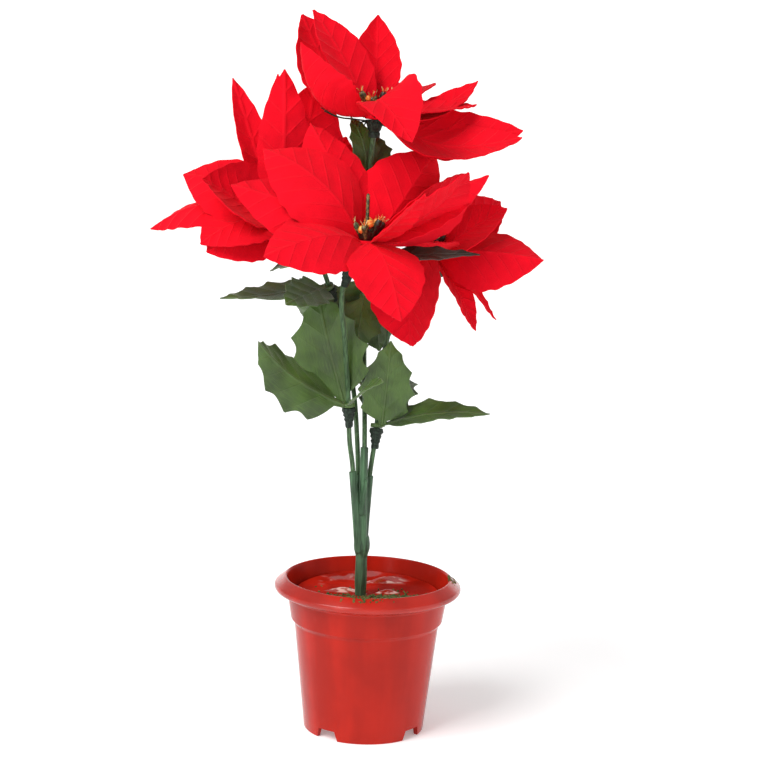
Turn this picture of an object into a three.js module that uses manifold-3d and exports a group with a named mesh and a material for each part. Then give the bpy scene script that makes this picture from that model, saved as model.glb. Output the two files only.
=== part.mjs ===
// An artificial poinsettia standing in its plastic pot.
// Millimetres, +Z up. Everything is modelled with the pot's axis on Z and its feet on Z = 0, and the
// whole group is moved at the end so that the bottom centre of its bounding box is the origin.
import * as THREE from "three";
import { mergeVertices } from "three/addons/utils/BufferGeometryUtils.js";
import Module from "manifold-3d";

// ---------------------------------------------------------------- driving dimensions

const GAP = 0.3; // clearance between pieces that touch
const SLIVER = 0.04; // faces narrower than this, left where pieces cross, are merged away
const PETAL_THICK = 0.8;
const LEAF_THICK = 0.7;

const POT = {
  height: 83.3,
  wall: 1.7,
  baseRadius: 32.2, // at the feet
  shoulderRadius: 38.7, // top of the tapered body
  shoulderZ: 58,
  bandRadius: 40.9, // the wider band under the rim
  bandZ: 61.5,
  neckRadius: 42.7, // where the band meets the rim
  neckZ: 72.5,
  rimRadius: 50,
  rimZ: 78,
  lipRadius: 43.5, // the rim's inner edge
  floorZ: 6, // underside of the pot's floor
  segments: 32,
};

const NOTCH = {
  count: 4,
  firstAngle: 53, // degrees round from the front, to the right
  bottomWidth: 14.5,
  topWidth: 12,
  height: 5.5,
};

const FILL = {
  plasterTop: 64,
  top: 73, // level of the set glue
  backRise: 3.5, // how far it climbs the pot's wall at the back
  lump: 0.7,
  rings: 4,
  sectors: 24,
};

const TRUNK = {
  bottomZ: 30, // its foot in the plaster
  footRadius: 2.6,
  bodyRadius: 3.4,
  collarRadius: 4.1,
  collarZ: 99,
  axis: [-3.8, 0],
  armRadius: 2.15,
  stubRadius: 0.9,
};

// Each stem runs from its socket in the trunk to its bloom.
const STEM_RADIUS = 1.3;
const STEMS = {
  front: [
    [-9, -3, 132],
    [-10, -3, 144],
    [-12, -5, 158],
    [-13, -8, 178],
    [-16, -12, 213],
    [-18, -16, 237],
    [-14, -24, 253],
    [-7, -30, 261.5],
  ],
  left: [
    [-6.6, 4, 128],
    [-7, 4, 139],
    [-8, 5, 156],
    [-11, 16, 182],
    [-17, 26, 207],
    [-24, 18, 232],
    [-33, 8, 253],
    [-49, 5, 266],
  ],
  top: [
    [-4, -1, 142],
    [-4, -1, 154],
    [-5, 12, 182],
    [-6, 22, 208],
    [-6, 22, 235],
    [-6, 10, 284],
    [-5, 3, 311],
    [-4, 0, 323],
  ],
  right: [
    [-1.6, 2, 127],
    [-0.8, 2, 138],
    [2, 3, 163],
    [3, 8, 183],
    [6, 8, 210],
    [13, 10, 233],
    [25, 10, 251],
  ],
};

// The trunk's arms, from the collar to the mouth of each socket.
const ARMS = [
  [
    [-5, -1.5, 97],
    [-7.2, -2.6, 118],
    [-9.8, -3, 141],
  ],
  [
    [-4.6, 1.5, 97],
    [-5.6, 3, 118],
    [-7, 4, 138],
  ],
  [
    [-3.4, -1.2, 97],
    [-3.8, -1.5, 120],
    [-4, -1, 154],
  ],
  [
    [-3.4, 1.4, 97],
    [-2.6, 2, 118],
    [-0.8, 2, 138],
  ],
];

// A petal: its tip from the bloom's centre, its width, how far its middle arches, how far its edges
// fold up (a share of its half width), and its roll about its own length in degrees. Its lean is the
// share by which one half is the narrower, below zero for the other half. A spoke of the holder runs
// under those marked so.
const BLOOMS = {
  top: {
    centre: [-4, 0, 328],
    pistil: 11,
    petals: [
      { tip: [-34, 10, 53], width: 28, arch: 4, cup: 0.25, roll: -35 },
      { tip: [-40, 25, 51], width: 40, arch: -8, cup: 0.2, roll: -30 },
      { tip: [-39, -16, 37], width: 40, arch: -14, cup: 0.8, roll: 0, spoke: true },
      { tip: [0, 25, 52], width: 27, arch: -3, cup: 0.6, roll: 0 },
      { tip: [19, -44, -10], width: 44, arch: 16, cup: 0.2, roll: 30, lean: 0.5, spoke: true },
      { tip: [54, 25, 19], width: 24, arch: -8, cup: 0.2, roll: 15 },
      { tip: [53, 15, 7], width: 24, arch: 0, cup: 0.2, roll: 10 },
      { tip: [77, 2, -5], width: 34, arch: -11, cup: 0.1, roll: 50 },
      { tip: [76, -8, -8], width: 36, arch: -12, cup: 0.2, roll: 30, spoke: true },
      { tip: [-23, 60, 30], width: 36, arch: 5, cup: 0.2, roll: 0, spoke: true },
      { tip: [27, 62, 14], width: 36, arch: 5, cup: 0.2, roll: 0, spoke: true },
    ],
  },
  front: {
    centre: [-6, -30, 266],
    pistil: 25,
    petals: [
      { tip: [-54, 8, 45], width: 48, arch: 14, cup: -0.25, roll: -45 },
      { tip: [-69, -6, 27], width: 38, arch: 8, cup: -0.3, roll: -55 },
      { tip: [-50, -38, -5], width: 41, arch: 9, cup: -0.3, roll: -40, spoke: true },
      { tip: [18, -42, -34], width: 40, arch: 8, cup: -0.1, roll: 5, spoke: true },
      { tip: [50, -18, 38], width: 46, arch: -5, cup: -0.1, roll: -22, lean: 0.2 },
      { tip: [61, 5, 35], width: 34, arch: 4, cup: -0.1, roll: 35, lean: -0.6 },
      { tip: [34, 36, 46], width: 46, arch: 4, cup: -0.4, roll: 62 },
      { tip: [28, -46, 29], width: 15, arch: -2, cup: -0.3, roll: 0 },
      { tip: [50, 35, 34], width: 26, arch: 4, cup: 0.1, roll: 110 },
      { tip: [-31, 22, 58], width: 38, arch: 5, cup: -0.3, roll: -35 },
    ],
  },
  left: {
    centre: [-50, 5, 271],
    pistil: 11,
    petals: [
      { tip: [-29, 12, 74], width: 18, arch: 2, cup: 0.4, roll: -50 },
      { tip: [-1, -10, 80], width: 29, arch: 4, cup: -0.2, roll: -165 },
      { tip: [-5, 5, 77], width: 19, arch: 3, cup: 0.3, roll: -50 },
      { tip: [14, 18, 73], width: 42, arch: 6, cup: 0.2, roll: 50 },
      { tip: [31, 30, 44], width: 42, arch: 4, cup: 0.2, roll: 40 },
      { tip: [-53, 5, 23], width: 40, arch: 14, cup: -0.2, roll: -55 },
      { tip: [-42, -20, 23], width: 42, arch: 0, cup: 0.5, roll: -50 },
      { tip: [-71, 15, -7], width: 32, arch: 13, cup: -0.3, roll: -25, spoke: true },
      { tip: [-41, -25, -10], width: 40, arch: 8, cup: 0.05, roll: -30, spoke: true },
      { tip: [-38, -24, -14], width: 38, arch: 6, cup: -0.05, roll: -48, spoke: true },
    ],
  },
  right: {
    centre: [26, 10, 256],
    pistil: 11,
    petals: [
      { tip: [26, -14, -37.5], width: 16, arch: 2, cup: 0.4, roll: 15, spoke: true },
      { tip: [37, -4, -33], width: 11, arch: 2, cup: 0.3, roll: 10 },
      { tip: [60, -16, 1], width: 40, arch: 5, cup: -0.45, roll: 48, spoke: true },
      { tip: [41, -2, 26], width: 32, arch: 1, cup: 0.2, roll: 38 },
      { tip: [4, -28, 10], width: 30, arch: 0, cup: 0.2, roll: 0 },
      { tip: [-7, -16, -46], width: 44, arch: 7, cup: 0.4, roll: 8, spoke: true },
      { tip: [39, 36, 26], width: 30, arch: 5, cup: 0.2, roll: 50 },
    ],
  },
};

// A whorl of leaves sits on a stem at a height. Its leaves are given as the petals are.
const WHORLS = {
  low_left: {
    stem: "front",
    z: 178,
    leaves: [
      { tip: [-46, -40, 38], width: 35, arch: -6, cup: -0.45, roll: -64 },
      { tip: [18, -44, 20], width: 18, arch: 2, cup: 0.2, roll: 40 },
      { tip: [-18, 15, 56], width: 46, arch: 3, cup: 0.15, roll: -65 },
    ],
  },
  low_right: {
    stem: "right",
    z: 165,
    leaves: [
      { tip: [6, -3, 46], width: 31, arch: 4, cup: 0.2, roll: 120 },
      { tip: [59, -17, 11], width: 23, arch: 4, cup: 0.2, roll: 25 },
      { tip: [11, 53, 20], width: 34, arch: 5, cup: 0.2, roll: 10 },
    ],
  },
  upper_left: {
    stem: "left",
    z: 237,
    leaves: [
      { tip: [-55, -29, -5], width: 28, arch: -1, cup: 0.2, roll: -10 },
      { tip: [-20, -45, -4], width: 26, arch: 0, cup: 0.2, roll: -30 },
      { tip: [-13, 25, -21], width: 34, arch: 4, cup: -0.2, roll: -130 },
      { tip: [17, 18, -24], width: 32, arch: 3, cup: 0.2, roll: 100 },
    ],
  },
  under_front: {
    stem: "front",
    z: 253,
    leaves: [
      { tip: [-42, 24, -7], width: 30, arch: 4, cup: 0.2, roll: -20 },
      { tip: [66, 2, 7], width: 17, arch: 3, cup: 0.2, roll: 25 },
    ],
  },
  under_top: {
    stem: "top",
    z: 294,
    leaves: [
      { tip: [-11, 5, 33], width: 19, arch: 6, cup: 0.2, roll: -30 },
      { tip: [3, 13, 23], width: 24, arch: 3, cup: 0.2, roll: 5 },
      { tip: [16, 41, 3], width: 28, arch: 4, cup: 0.2, roll: 35 },
    ],
  },
  middle: {
    stem: "top",
    z: 232,
    leaves: [
      { tip: [8, 4, -30], width: 26, arch: 4, cup: -0.2, roll: 105 },
      { tip: [-4, -14, -27], width: 30, arch: 5, cup: -0.2, roll: -15 },
    ],
  },
  under_right: {
    stem: "right",
    z: 240,
    leaves: [
      { tip: [-3, 35, -20], width: 32, arch: 4, cup: -0.2, roll: -170 },
      { tip: [25, 43, 8], width: 32, arch: 4, cup: 0.2, roll: 10 },
    ],
  },
};

const DISC = { radius: 5.5, thick: 2.4, petalRing: 4 };
const HOLDER = {
  topRadius: 4.6,
  mouthRadius: 3,
  height: 9,
  spokeRadius: 0.55,
  spokeStops: [0.12, 0.22, 0.32, 0.42], // shares of the petal's length that a spoke passes under
};
const HEART = {
  baseRadius: 4.6,
  baseHeight: 3.8,
  buds: 5,
  budHeight: 12.5,
  spread: 7, // how far a bud's top leans out
  budRadius: 1.9,
  budFootRadius: 1.1,
  pistilRadius: 1,
};
const RING = { radius: 3.5, height: 2.2, leafRing: 3 };
const COLLAR = { topRadius: 3.7, bottomRadius: 2.1, height: 11 };

// ---------------------------------------------------------------- materials

const surface = (color, roughness) => new THREE.MeshStandardMaterial({ color, roughness, metalness: 0 });
const MATERIALS = {
  potRed: surface("#bc352a", 0.38),
  plaster: surface("#cfc9bf", 0.9),
  glue: surface("#c33a2c", 0.12),
  stemGreen: surface("#3b5a41", 0.55),
  collarGreen: surface("#2c3a30", 0.6),
  petalRed: surface("#ee1425", 0.85),
  leafGreen: surface("#44602f", 0.6),
  holderBlack: surface("#1c211c", 0.5),
  heartOchre: surface("#8a5a1c", 0.5),
};

// ---------------------------------------------------------------- solids

const wasm = await Module();
wasm.setup();

const vec = (p) => new THREE.Vector3(...p);
const deg = THREE.MathUtils.degToRad;

/** A closed three.js geometry as a manifold solid. */
function solidOf(geometry) {
  const bare = geometry.clone();
  bare.deleteAttribute("normal");
  bare.deleteAttribute("uv");
  const merged = mergeVertices(bare, 1e-4);
  const triVerts = new Uint32Array(merged.index.array);
  const vertProperties = new Float32Array(merged.attributes.position.array);
  return new wasm.Manifold(new wasm.Mesh({ numProp: 3, vertProperties, triVerts }));
}

/** A manifold solid as a flat-shaded three.js geometry. */
function geometryOf(solid) {
  const mesh = solid.getMesh();
  const geometry = new THREE.BufferGeometry();
  geometry.setAttribute("position", new THREE.BufferAttribute(new Float32Array(mesh.vertProperties), 3));
  geometry.setIndex(new THREE.BufferAttribute(new Uint32Array(mesh.triVerts), 1));
  const flat = geometry.toNonIndexed();
  flat.computeVertexNormals();
  return flat;
}

const joined = (solids) => solids.reduce((all, one) => all.add(one));
const cutBy = (solid, tools) => tools.reduce((left, tool) => left.subtract(tool), solid);

/** The largest outer surface of a solid, without the loose scraps and sealed pockets beside it. */
function mainBody(solid) {
  const bodies = solid.decompose();
  return bodies.reduce((best, body) => (body.volume() > best.volume() ? body : best));
}

/** A turned solid: its profile starts and ends on the axis, as [radius, height] pairs. */
function turned(profile, segments) {
  const points = profile.map(([r, z]) => new THREE.Vector2(r, z));
  const geometry = new THREE.LatheGeometry(points, segments);
  geometry.rotateX(Math.PI / 2);
  return solidOf(geometry);
}

/** A round bar along a curve. */
function bar(curve, radius, sides, steps) {
  const section = new THREE.Shape();
  for (let k = 0; k < sides; k++) {
    const angle = (2 * Math.PI * k) / sides;
    const corner = [radius * Math.cos(angle), radius * Math.sin(angle)];
    if (k === 0) section.moveTo(...corner);
    else section.lineTo(...corner);
  }
  section.closePath();
  const options = { extrudePath: curve, steps, bevelEnabled: false };
  return solidOf(new THREE.ExtrudeGeometry(section, options));
}

/** A smooth curve through points, lengthened at both ends by a little. */
function pathThrough(points, longer = 0) {
  const plain = new THREE.CatmullRomCurve3(points.map(vec), false, "centripetal");
  if (!longer) return plain;
  const start = plain.getPoint(0).addScaledVector(plain.getTangent(0), -longer);
  const end = plain.getPoint(1).addScaledVector(plain.getTangent(1), longer);
  const all = [start, ...points.map(vec), end];
  return new THREE.CatmullRomCurve3(all, false, "centripetal");
}

/** Moves a solid that was made round +Z at the origin to a place, with its +Z along a direction. */
function placed(solid, at, along) {
  const turn = new THREE.Quaternion().setFromUnitVectors(new THREE.Vector3(0, 0, 1), along);
  const matrix = new THREE.Matrix4().compose(at, turn, new THREE.Vector3(1, 1, 1));
  return solid.transform(matrix.elements);
}

// ---------------------------------------------------------------- blades: petals and leaves

const PETAL_ROWS = [0, 0.15, 0.32, 0.52, 0.77, 1];
const PETAL_COLUMNS = [-1, 0, 1];

/** A petal's half width along its length, as a share of its greatest half width. */
function petalOutline(u) {
  const widest = 0.8 / (0.8 + 0.92);
  const swell = (t) => t ** 0.8 * (1 - t) ** 0.92;
  const neck = u < 0.5 ? 0.16 * (1 - u) : 0.03;
  return Math.max(swell(u) / swell(widest), neck);
}

// A holly-like leaf: [place along it, half width] from its stalk past three teeth to its tip.
const LEAF_OUTLINE = [
  [0, 0.1],
  [0.08, 0.15],
  [0.24, 0.84],
  [0.32, 0.73],
  [0.44, 1],
  [0.53, 0.79],
  [0.67, 0.82],
  [0.77, 0.5],
  [1, 0.03],
];
const LEAF_ROWS = LEAF_OUTLINE.map(([u]) => u);
const LEAF_COLUMNS = [-1, 0, 1];
const leafOutline = (u) => LEAF_OUTLINE.find(([place]) => place === u)[1];

/** The frame of a blade that leaves a ring round a centre: its spine, and the direction of its width. */
function bladeFrame({ tip, arch, roll }, centre, ring, bow) {
  const outward = new THREE.Vector3(tip[0], tip[1], 0).normalize();
  const root = centre.clone().addScaledVector(outward, ring);
  const end = centre.clone().add(vec(tip));
  const chord = end.clone().sub(root);
  const length = chord.length();
  const along = chord.normalize();
  const face = new THREE.Vector3(0, 0, 1).addScaledVector(along, -along.z).normalize();
  face.applyAxisAngle(along, deg(roll));
  const middle = root.clone().addScaledVector(along, length * bow).addScaledVector(face, 2 * arch);
  const side = face.clone().cross(along);
  return { spine: new THREE.QuadraticBezierCurve3(root, middle, end), side };
}

/** The blade's sheet of points: one row for each place along the spine, from edge to edge. */
function bladeSheet(blade, frame, rows, columns, outline) {
  return rows.map((u) => {
    const point = frame.spine.getPointAt(u);
    const face = frame.spine.getTangentAt(u).cross(frame.side);
    const half = (blade.width / 2) * outline(u);
    const fold = Math.min(1, Math.abs(blade.cup));
    const lean = blade.lean ?? 0;
    return columns.map((v) => {
      const share = v * lean < 0 ? 1 - Math.abs(lean) : 1;
      const across = v * half * share * (1 - 0.12 * fold * Math.abs(v));
      const rise = blade.cup * half * Math.abs(v) ** 1.4;
      return point.clone().addScaledVector(frame.side, across).addScaledVector(face, rise);
    });
  });
}

/** Closes a sheet of points into a solid of even thickness, with both faces split alike. */
function thickened(sheet, thick) {
  const rows = sheet.length;
  const columns = sheet[0].length;
  const plane = new THREE.PlaneGeometry(1, 1, columns - 1, rows - 1);
  const places = sheet.flat().flatMap((p) => p.toArray());
  plane.setAttribute("position", new THREE.Float32BufferAttribute(places, 3));
  plane.computeVertexNormals();
  const { position, normal } = plane.attributes;
  const count = rows * columns;
  const face = (sign) =>
    Array.from({ length: count }, (_, k) => {
      const point = new THREE.Vector3().fromBufferAttribute(position, k);
      const out = new THREE.Vector3().fromBufferAttribute(normal, k);
      return point.addScaledVector(out, (sign * thick) / 2).toArray();
    }).flat();
  const front = [...plane.index.array];
  const back = front.map((k) => k + count).reverse();
  const at = (row, column) => row * columns + column;
  const rim = [];
  for (let j = 0; j < columns; j++) rim.push(at(0, j));
  for (let i = 1; i < rows; i++) rim.push(at(i, columns - 1));
  for (let j = columns - 2; j >= 0; j--) rim.push(at(rows - 1, j));
  for (let i = rows - 2; i > 0; i--) rim.push(at(i, 0));
  const walls = rim.flatMap((a, k) => {
    const b = rim[(k + 1) % rim.length];
    return [a, b, b + count, a, b + count, a + count];
  });
  const closed = new THREE.BufferGeometry();
  closed.setAttribute("position", new THREE.Float32BufferAttribute([...face(1), ...face(-1)], 3));
  closed.setIndex([...front, ...back, ...walls]);
  return solidOf(closed);
}

const wider = (blade, clearance) => ({ ...blade, width: blade.width + 4 * clearance });

/** A petal's solid, thicker and wider by a clearance when it is used as a cutter. */
function petalSolid(petal, centre, clearance = 0) {
  const frame = bladeFrame(petal, centre, DISC.petalRing, 0.42);
  const sheet = bladeSheet(wider(petal, clearance), frame, PETAL_ROWS, PETAL_COLUMNS, petalOutline);
  return thickened(sheet, PETAL_THICK + 2 * clearance);
}

/** A leaf's solid, made in the same way. */
function leafSolid(leaf, centre, clearance = 0) {
  const frame = bladeFrame(leaf, centre, RING.leafRing, 0.5);
  const sheet = bladeSheet(wider(leaf, clearance), frame, LEAF_ROWS, LEAF_COLUMNS, leafOutline);
  return thickened(sheet, LEAF_THICK + 2 * clearance);
}

// ---------------------------------------------------------------- pot and its filling

/** The pot's inner radius at a height, inside its tapered body and band. */
function innerRadius(z) {
  const [low, high] =
    z < POT.shoulderZ
      ? [
          [0, POT.baseRadius],
          [POT.shoulderZ, POT.shoulderRadius],
        ]
      : [
          [POT.bandZ, POT.bandRadius],
          [POT.neckZ, POT.neckRadius],
        ];
  const share = (z - low[0]) / (high[0] - low[0]);
  return THREE.MathUtils.lerp(low[1], high[1], share) - POT.wall;
}

function potSolid() {
  const footInner = POT.baseRadius - 2.4;
  const floorTop = POT.floorZ + POT.wall;
  const outside = [
    [0, POT.floorZ],
    [footInner, POT.floorZ],
    [footInner, 0],
    [POT.baseRadius, 0],
    [POT.shoulderRadius, POT.shoulderZ],
    [POT.shoulderRadius + 0.9, POT.shoulderZ + 1],
    [POT.bandRadius, POT.bandZ],
    [POT.neckRadius, POT.neckZ],
    [POT.rimRadius - 0.7, POT.rimZ - 1],
    [POT.rimRadius, POT.rimZ + 0.6],
    [POT.rimRadius - 2, POT.height - 1.8],
    [POT.lipRadius + 1, POT.height],
    [POT.lipRadius, POT.height],
  ];
  const inside = [
    [innerRadius(POT.neckZ), POT.neckZ],
    [innerRadius(POT.bandZ + 1), POT.bandZ + 1],
    [innerRadius(POT.shoulderZ - 1), POT.shoulderZ - 1],
    [innerRadius(floorTop), floorTop],
    [0, floorTop],
  ];
  const body = turned([...outside, ...inside], POT.segments);
  const notch = new THREE.Shape();
  notch.moveTo(-NOTCH.bottomWidth / 2, -1);
  notch.lineTo(NOTCH.bottomWidth / 2, -1);
  notch.lineTo(NOTCH.topWidth / 2, NOTCH.height);
  notch.lineTo(-NOTCH.topWidth / 2, NOTCH.height);
  notch.closePath();
  const notches = Array.from({ length: NOTCH.count }, (_, k) => {
    const cutter = new THREE.ExtrudeGeometry(notch, { depth: 12, bevelEnabled: false });
    cutter.rotateX(Math.PI / 2);
    cutter.translate(0, 12 - POT.baseRadius - 5, 0);
    cutter.rotateZ(deg(NOTCH.firstAngle + (360 / NOTCH.count) * k));
    return solidOf(cutter);
  });
  return cutBy(body, notches);
}

function plasterSolid(hole) {
  const bottom = POT.floorZ + POT.wall + GAP;
  const profile = [
    [0, bottom],
    [innerRadius(bottom) - GAP, bottom],
    [innerRadius(POT.shoulderZ - 1) - GAP, POT.shoulderZ - 1],
    [innerRadius(POT.bandZ + 1) - GAP, POT.bandZ + 1],
    [innerRadius(FILL.plasterTop) - GAP, FILL.plasterTop],
    [0, FILL.plasterTop],
  ];
  return turned(profile, POT.segments).subtract(hole);
}

/** The set glue: a flat-bottomed round pad whose top is lumpy and climbs the wall at the back. */
function glueSolid(hole) {
  const bottom = FILL.plasterTop + GAP;
  const radius = innerRadius(bottom) - 2 * GAP;
  const level = (x, y) => {
    const back = Math.max(0, y / radius);
    const waves = Math.sin(x * 0.31 + 1) * Math.cos(y * 0.27) + 0.6 * Math.sin(x * 0.17 - y * 0.41);
    return FILL.top + FILL.backRise * back ** 2 + FILL.lump * waves;
  };
  const rings = [];
  for (let k = 1; k <= FILL.rings; k++) {
    const share = k / FILL.rings;
    const ring = Array.from({ length: FILL.sectors }, (_, s) => {
      const angle = (2 * Math.PI * s) / FILL.sectors;
      const [x, y] = [radius * share * Math.cos(angle), radius * share * Math.sin(angle)];
      return [x, y, level(x, y)];
    });
    rings.push(ring);
  }
  const rim = rings.at(-1);
  const foot = rim.map(([x, y]) => [x, y, bottom]);
  const points = [[0, 0, level(0, 0)], ...rings.flat(), ...foot, [0, 0, bottom]];
  const at = (ring, s) => 1 + ring * FILL.sectors + (s % FILL.sectors);
  const last = points.length - 1;
  const index = [];
  for (let s = 0; s < FILL.sectors; s++) {
    index.push(0, at(0, s), at(0, s + 1));
    for (let k = 0; k < FILL.rings; k++) {
      const [a, b, c, d] = [at(k, s), at(k + 1, s), at(k + 1, s + 1), at(k, s + 1)];
      index.push(a, b, c, a, c, d);
    }
    index.push(last, at(FILL.rings, s + 1), at(FILL.rings, s));
  }
  const geometry = new THREE.BufferGeometry();
  geometry.setAttribute("position", new THREE.Float32BufferAttribute(points.flat(), 3));
  geometry.setIndex(index);
  return solidOf(geometry).subtract(hole);
}

// ---------------------------------------------------------------- trunk and stems

/** The round foot that every arm grows from, widened by a clearance when it is used as a cutter. */
function trunkFoot(clearance) {
  const { bottomZ, footRadius, bodyRadius, collarRadius, collarZ, axis } = TRUNK;
  const profile = [
    [0, bottomZ - clearance],
    [footRadius + clearance, bottomZ - clearance],
    [footRadius + clearance, 76],
    [bodyRadius + clearance, 84],
    [bodyRadius + clearance, 90],
    [bodyRadius - 0.4 + clearance, 95],
    [collarRadius + clearance, collarZ],
    [collarRadius - 0.4 + clearance, collarZ + 4],
    [0, collarZ + 4],
  ];
  return turned(profile, 12).translate([...axis, 0]);
}

const stemCurve = (name, longer) => pathThrough(STEMS[name], longer);
const stemSolid = (name) => bar(stemCurve(name), STEM_RADIUS, 6, 20);
const stemSpace = (name) => bar(stemCurve(name, GAP), STEM_RADIUS + GAP, 8, 20);

function trunkSolid(spaces) {
  const arms = ARMS.map((points) => bar(pathThrough(points), TRUNK.armRadius, 7, 3));
  const stub = [
    [-4.2, -3.2, 122],
    [-3.4, -4.2, 129],
    [-2.6, -5, 136],
  ];
  const parts = [trunkFoot(0), ...arms, bar(pathThrough(stub), TRUNK.stubRadius, 5, 3)];
  return mainBody(cutBy(joined(parts), spaces));
}

// ---------------------------------------------------------------- blooms

/** A bloom's disc and petals one by one, widened by a clearance when they are used as cutters. */
function bloomPieces(bloom, clearance) {
  const centre = vec(bloom.centre);
  const radius = DISC.radius + clearance;
  const disc = new THREE.CylinderGeometry(radius, radius, DISC.thick + 2 * clearance, 14);
  disc.rotateX(Math.PI / 2);
  disc.translate(...bloom.centre);
  const petals = bloom.petals.map((petal) => petalSolid(petal, centre, clearance));
  return [solidOf(disc), ...petals];
}

/** The dark holder under a bloom: a socket for the stem, with spokes that follow the lowest petals. */
function holderSolid(bloom, space, petalRoom) {
  const top = -DISC.thick / 2 - GAP;
  const profile = [
    [0, top - HOLDER.height],
    [HOLDER.mouthRadius, top - HOLDER.height],
    [HOLDER.topRadius, top - 1.6],
    [HOLDER.topRadius, top],
    [0, top],
  ];
  const centre = vec(bloom.centre);
  const hub = turned(profile, 8).translate(bloom.centre);
  const drop = PETAL_THICK / 2 + GAP + HOLDER.spokeRadius + 0.1;
  const spokes = bloom.petals
    .filter((petal) => petal.spoke)
    .map((petal) => {
      const frame = bladeFrame(petal, centre, DISC.petalRing, 0.42);
      const points = HOLDER.spokeStops.map((u) => {
        const face = frame.spine.getTangentAt(u).cross(frame.side);
        return frame.spine.getPointAt(u).addScaledVector(face, -drop).toArray();
      });
      const start = [bloom.centre[0], bloom.centre[1], bloom.centre[2] + top - 1.2];
      return bar(pathThrough([start, ...points]), HOLDER.spokeRadius, 4, 5);
    });
  return mainBody(cutBy(joined([hub, ...spokes]), [space, ...petalRoom]));
}

/** The heart on a bloom's disc: a ring of leaning buds with berries round one upright pistil. */
function heartSolid(bloom, petalRoom) {
  const floor = DISC.thick / 2 + GAP;
  const base = turned(
    [
      [0, floor],
      [HEART.baseRadius, floor],
      [HEART.baseRadius * 0.9, floor + HEART.baseHeight * 0.8],
      [0, floor + HEART.baseHeight],
    ],
    10,
  );
  const buds = Array.from({ length: HEART.buds }, (_, k) => {
    const angle = (2 * Math.PI * k) / HEART.buds;
    const reach = HEART.spread * (k % 2 ? 1 : 0.8);
    const height = HEART.budHeight * (k % 2 ? 0.85 : 1.1);
    const lean = new THREE.Vector3(reach * Math.cos(angle), reach * Math.sin(angle), height);
    const length = lean.length();
    const bud = turned(
      [
        [0, 0],
        [HEART.budFootRadius, 0],
        [HEART.budRadius, length * 0.8],
        [0, length + 1.4],
      ],
      5,
    );
    return placed(bud, new THREE.Vector3(0, 0, floor + 1), lean.normalize());
  });
  const pistil = turned(
    [
      [0, floor + 1],
      [HEART.pistilRadius, floor + 1],
      [HEART.pistilRadius, bloom.pistil - 1],
      [0, bloom.pistil],
    ],
    6,
  );
  const heart = joined([base, ...buds, pistil]).translate(bloom.centre);
  return mainBody(cutBy(heart, petalRoom));
}

// ---------------------------------------------------------------- whorls of leaves

/** Where a stem passes a height, and its direction there. */
function stemAt(name, z) {
  const curve = stemCurve(name);
  let [low, high] = [0, 1];
  for (let k = 0; k < 30; k++) {
    const middle = (low + high) / 2;
    if (curve.getPoint(middle).z < z) low = middle;
    else high = middle;
  }
  return { point: curve.getPoint(low), along: curve.getTangent(low) };
}

function whorlSolid(whorl, spaces) {
  const { point, along } = stemAt(whorl.stem, whorl.z);
  const half = RING.height / 2;
  const ring = turned(
    [
      [0, -half],
      [RING.radius, -half],
      [RING.radius, half],
      [0, half],
    ],
    10,
  );
  const leaves = whorl.leaves.map((leaf) => leafSolid(leaf, point));
  return mainBody(cutBy(joined([placed(ring, point, along), ...leaves]), spaces));
}

/** The plastic collar that carries a whorl from below, cut clear of leaves that hang past it. */
function collarSolid(whorl, space) {
  const { point, along } = stemAt(whorl.stem, whorl.z);
  const top = -RING.height / 2 - GAP;
  const collar = turned(
    [
      [0, top - COLLAR.height],
      [COLLAR.bottomRadius, top - COLLAR.height],
      [COLLAR.topRadius, top - 2.5],
      [COLLAR.topRadius - 0.5, top],
      [0, top],
    ],
    8,
  );
  const room = whorl.leaves.map((leaf) => leafSolid(leaf, point, GAP));
  return mainBody(cutBy(placed(collar, point, along), [space, ...room]));
}

// ---------------------------------------------------------------- the plant

const plant = new THREE.Group();

function addPiece(name, solid, material) {
  const mesh = new THREE.Mesh(geometryOf(mainBody(solid.simplify(SLIVER))), material);
  mesh.name = name;
  plant.add(mesh);
}

const spaces = Object.fromEntries(Object.keys(STEMS).map((name) => [name, stemSpace(name)]));
const footHole = trunkFoot(GAP);

addPiece("pot", potSolid(), MATERIALS.potRed);
addPiece("plaster_block", plasterSolid(footHole), MATERIALS.plaster);
addPiece("glue_fill", glueSolid(footHole), MATERIALS.glue);
addPiece("trunk", trunkSolid(Object.values(spaces)), MATERIALS.stemGreen);

for (const name of Object.keys(STEMS)) {
  addPiece(`stem_${name}`, stemSolid(name), MATERIALS.stemGreen);
}

for (const [name, bloom] of Object.entries(BLOOMS)) {
  const petals = mainBody(joined(bloomPieces(bloom, 0)));
  const petalRoom = [...bloomPieces(bloom, GAP), petals];
  addPiece(`petals_${name}`, petals, MATERIALS.petalRed);
  addPiece(`holder_${name}`, holderSolid(bloom, spaces[name], petalRoom), MATERIALS.holderBlack);
  addPiece(`heart_${name}`, heartSolid(bloom, petalRoom), MATERIALS.heartOchre);
}

for (const [name, whorl] of Object.entries(WHORLS)) {
  addPiece(`leaves_${name}`, whorlSolid(whorl, Object.values(spaces)), MATERIALS.leafGreen);
  addPiece(`collar_${name}`, collarSolid(whorl, spaces[whorl.stem]), MATERIALS.collarGreen);
}

const bounds = new THREE.Box3().setFromObject(plant);
const middle = bounds.getCenter(new THREE.Vector3());
plant.position.set(-middle.x, -middle.y, -bounds.min.z);

const part = new THREE.Group();
part.add(plant);

export default part;
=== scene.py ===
"""An artificial poinsettia in its plastic pot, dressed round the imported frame.

Each operator makes one piece, or one group of like pieces: the pot and its filling, the moulded
trunk and stems, the cloth blooms with their hearts and holders, the satin leaves with their
collars, and the stage. Lengths in the tables are millimetres from the pot's axis at its foot.
"""

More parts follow.
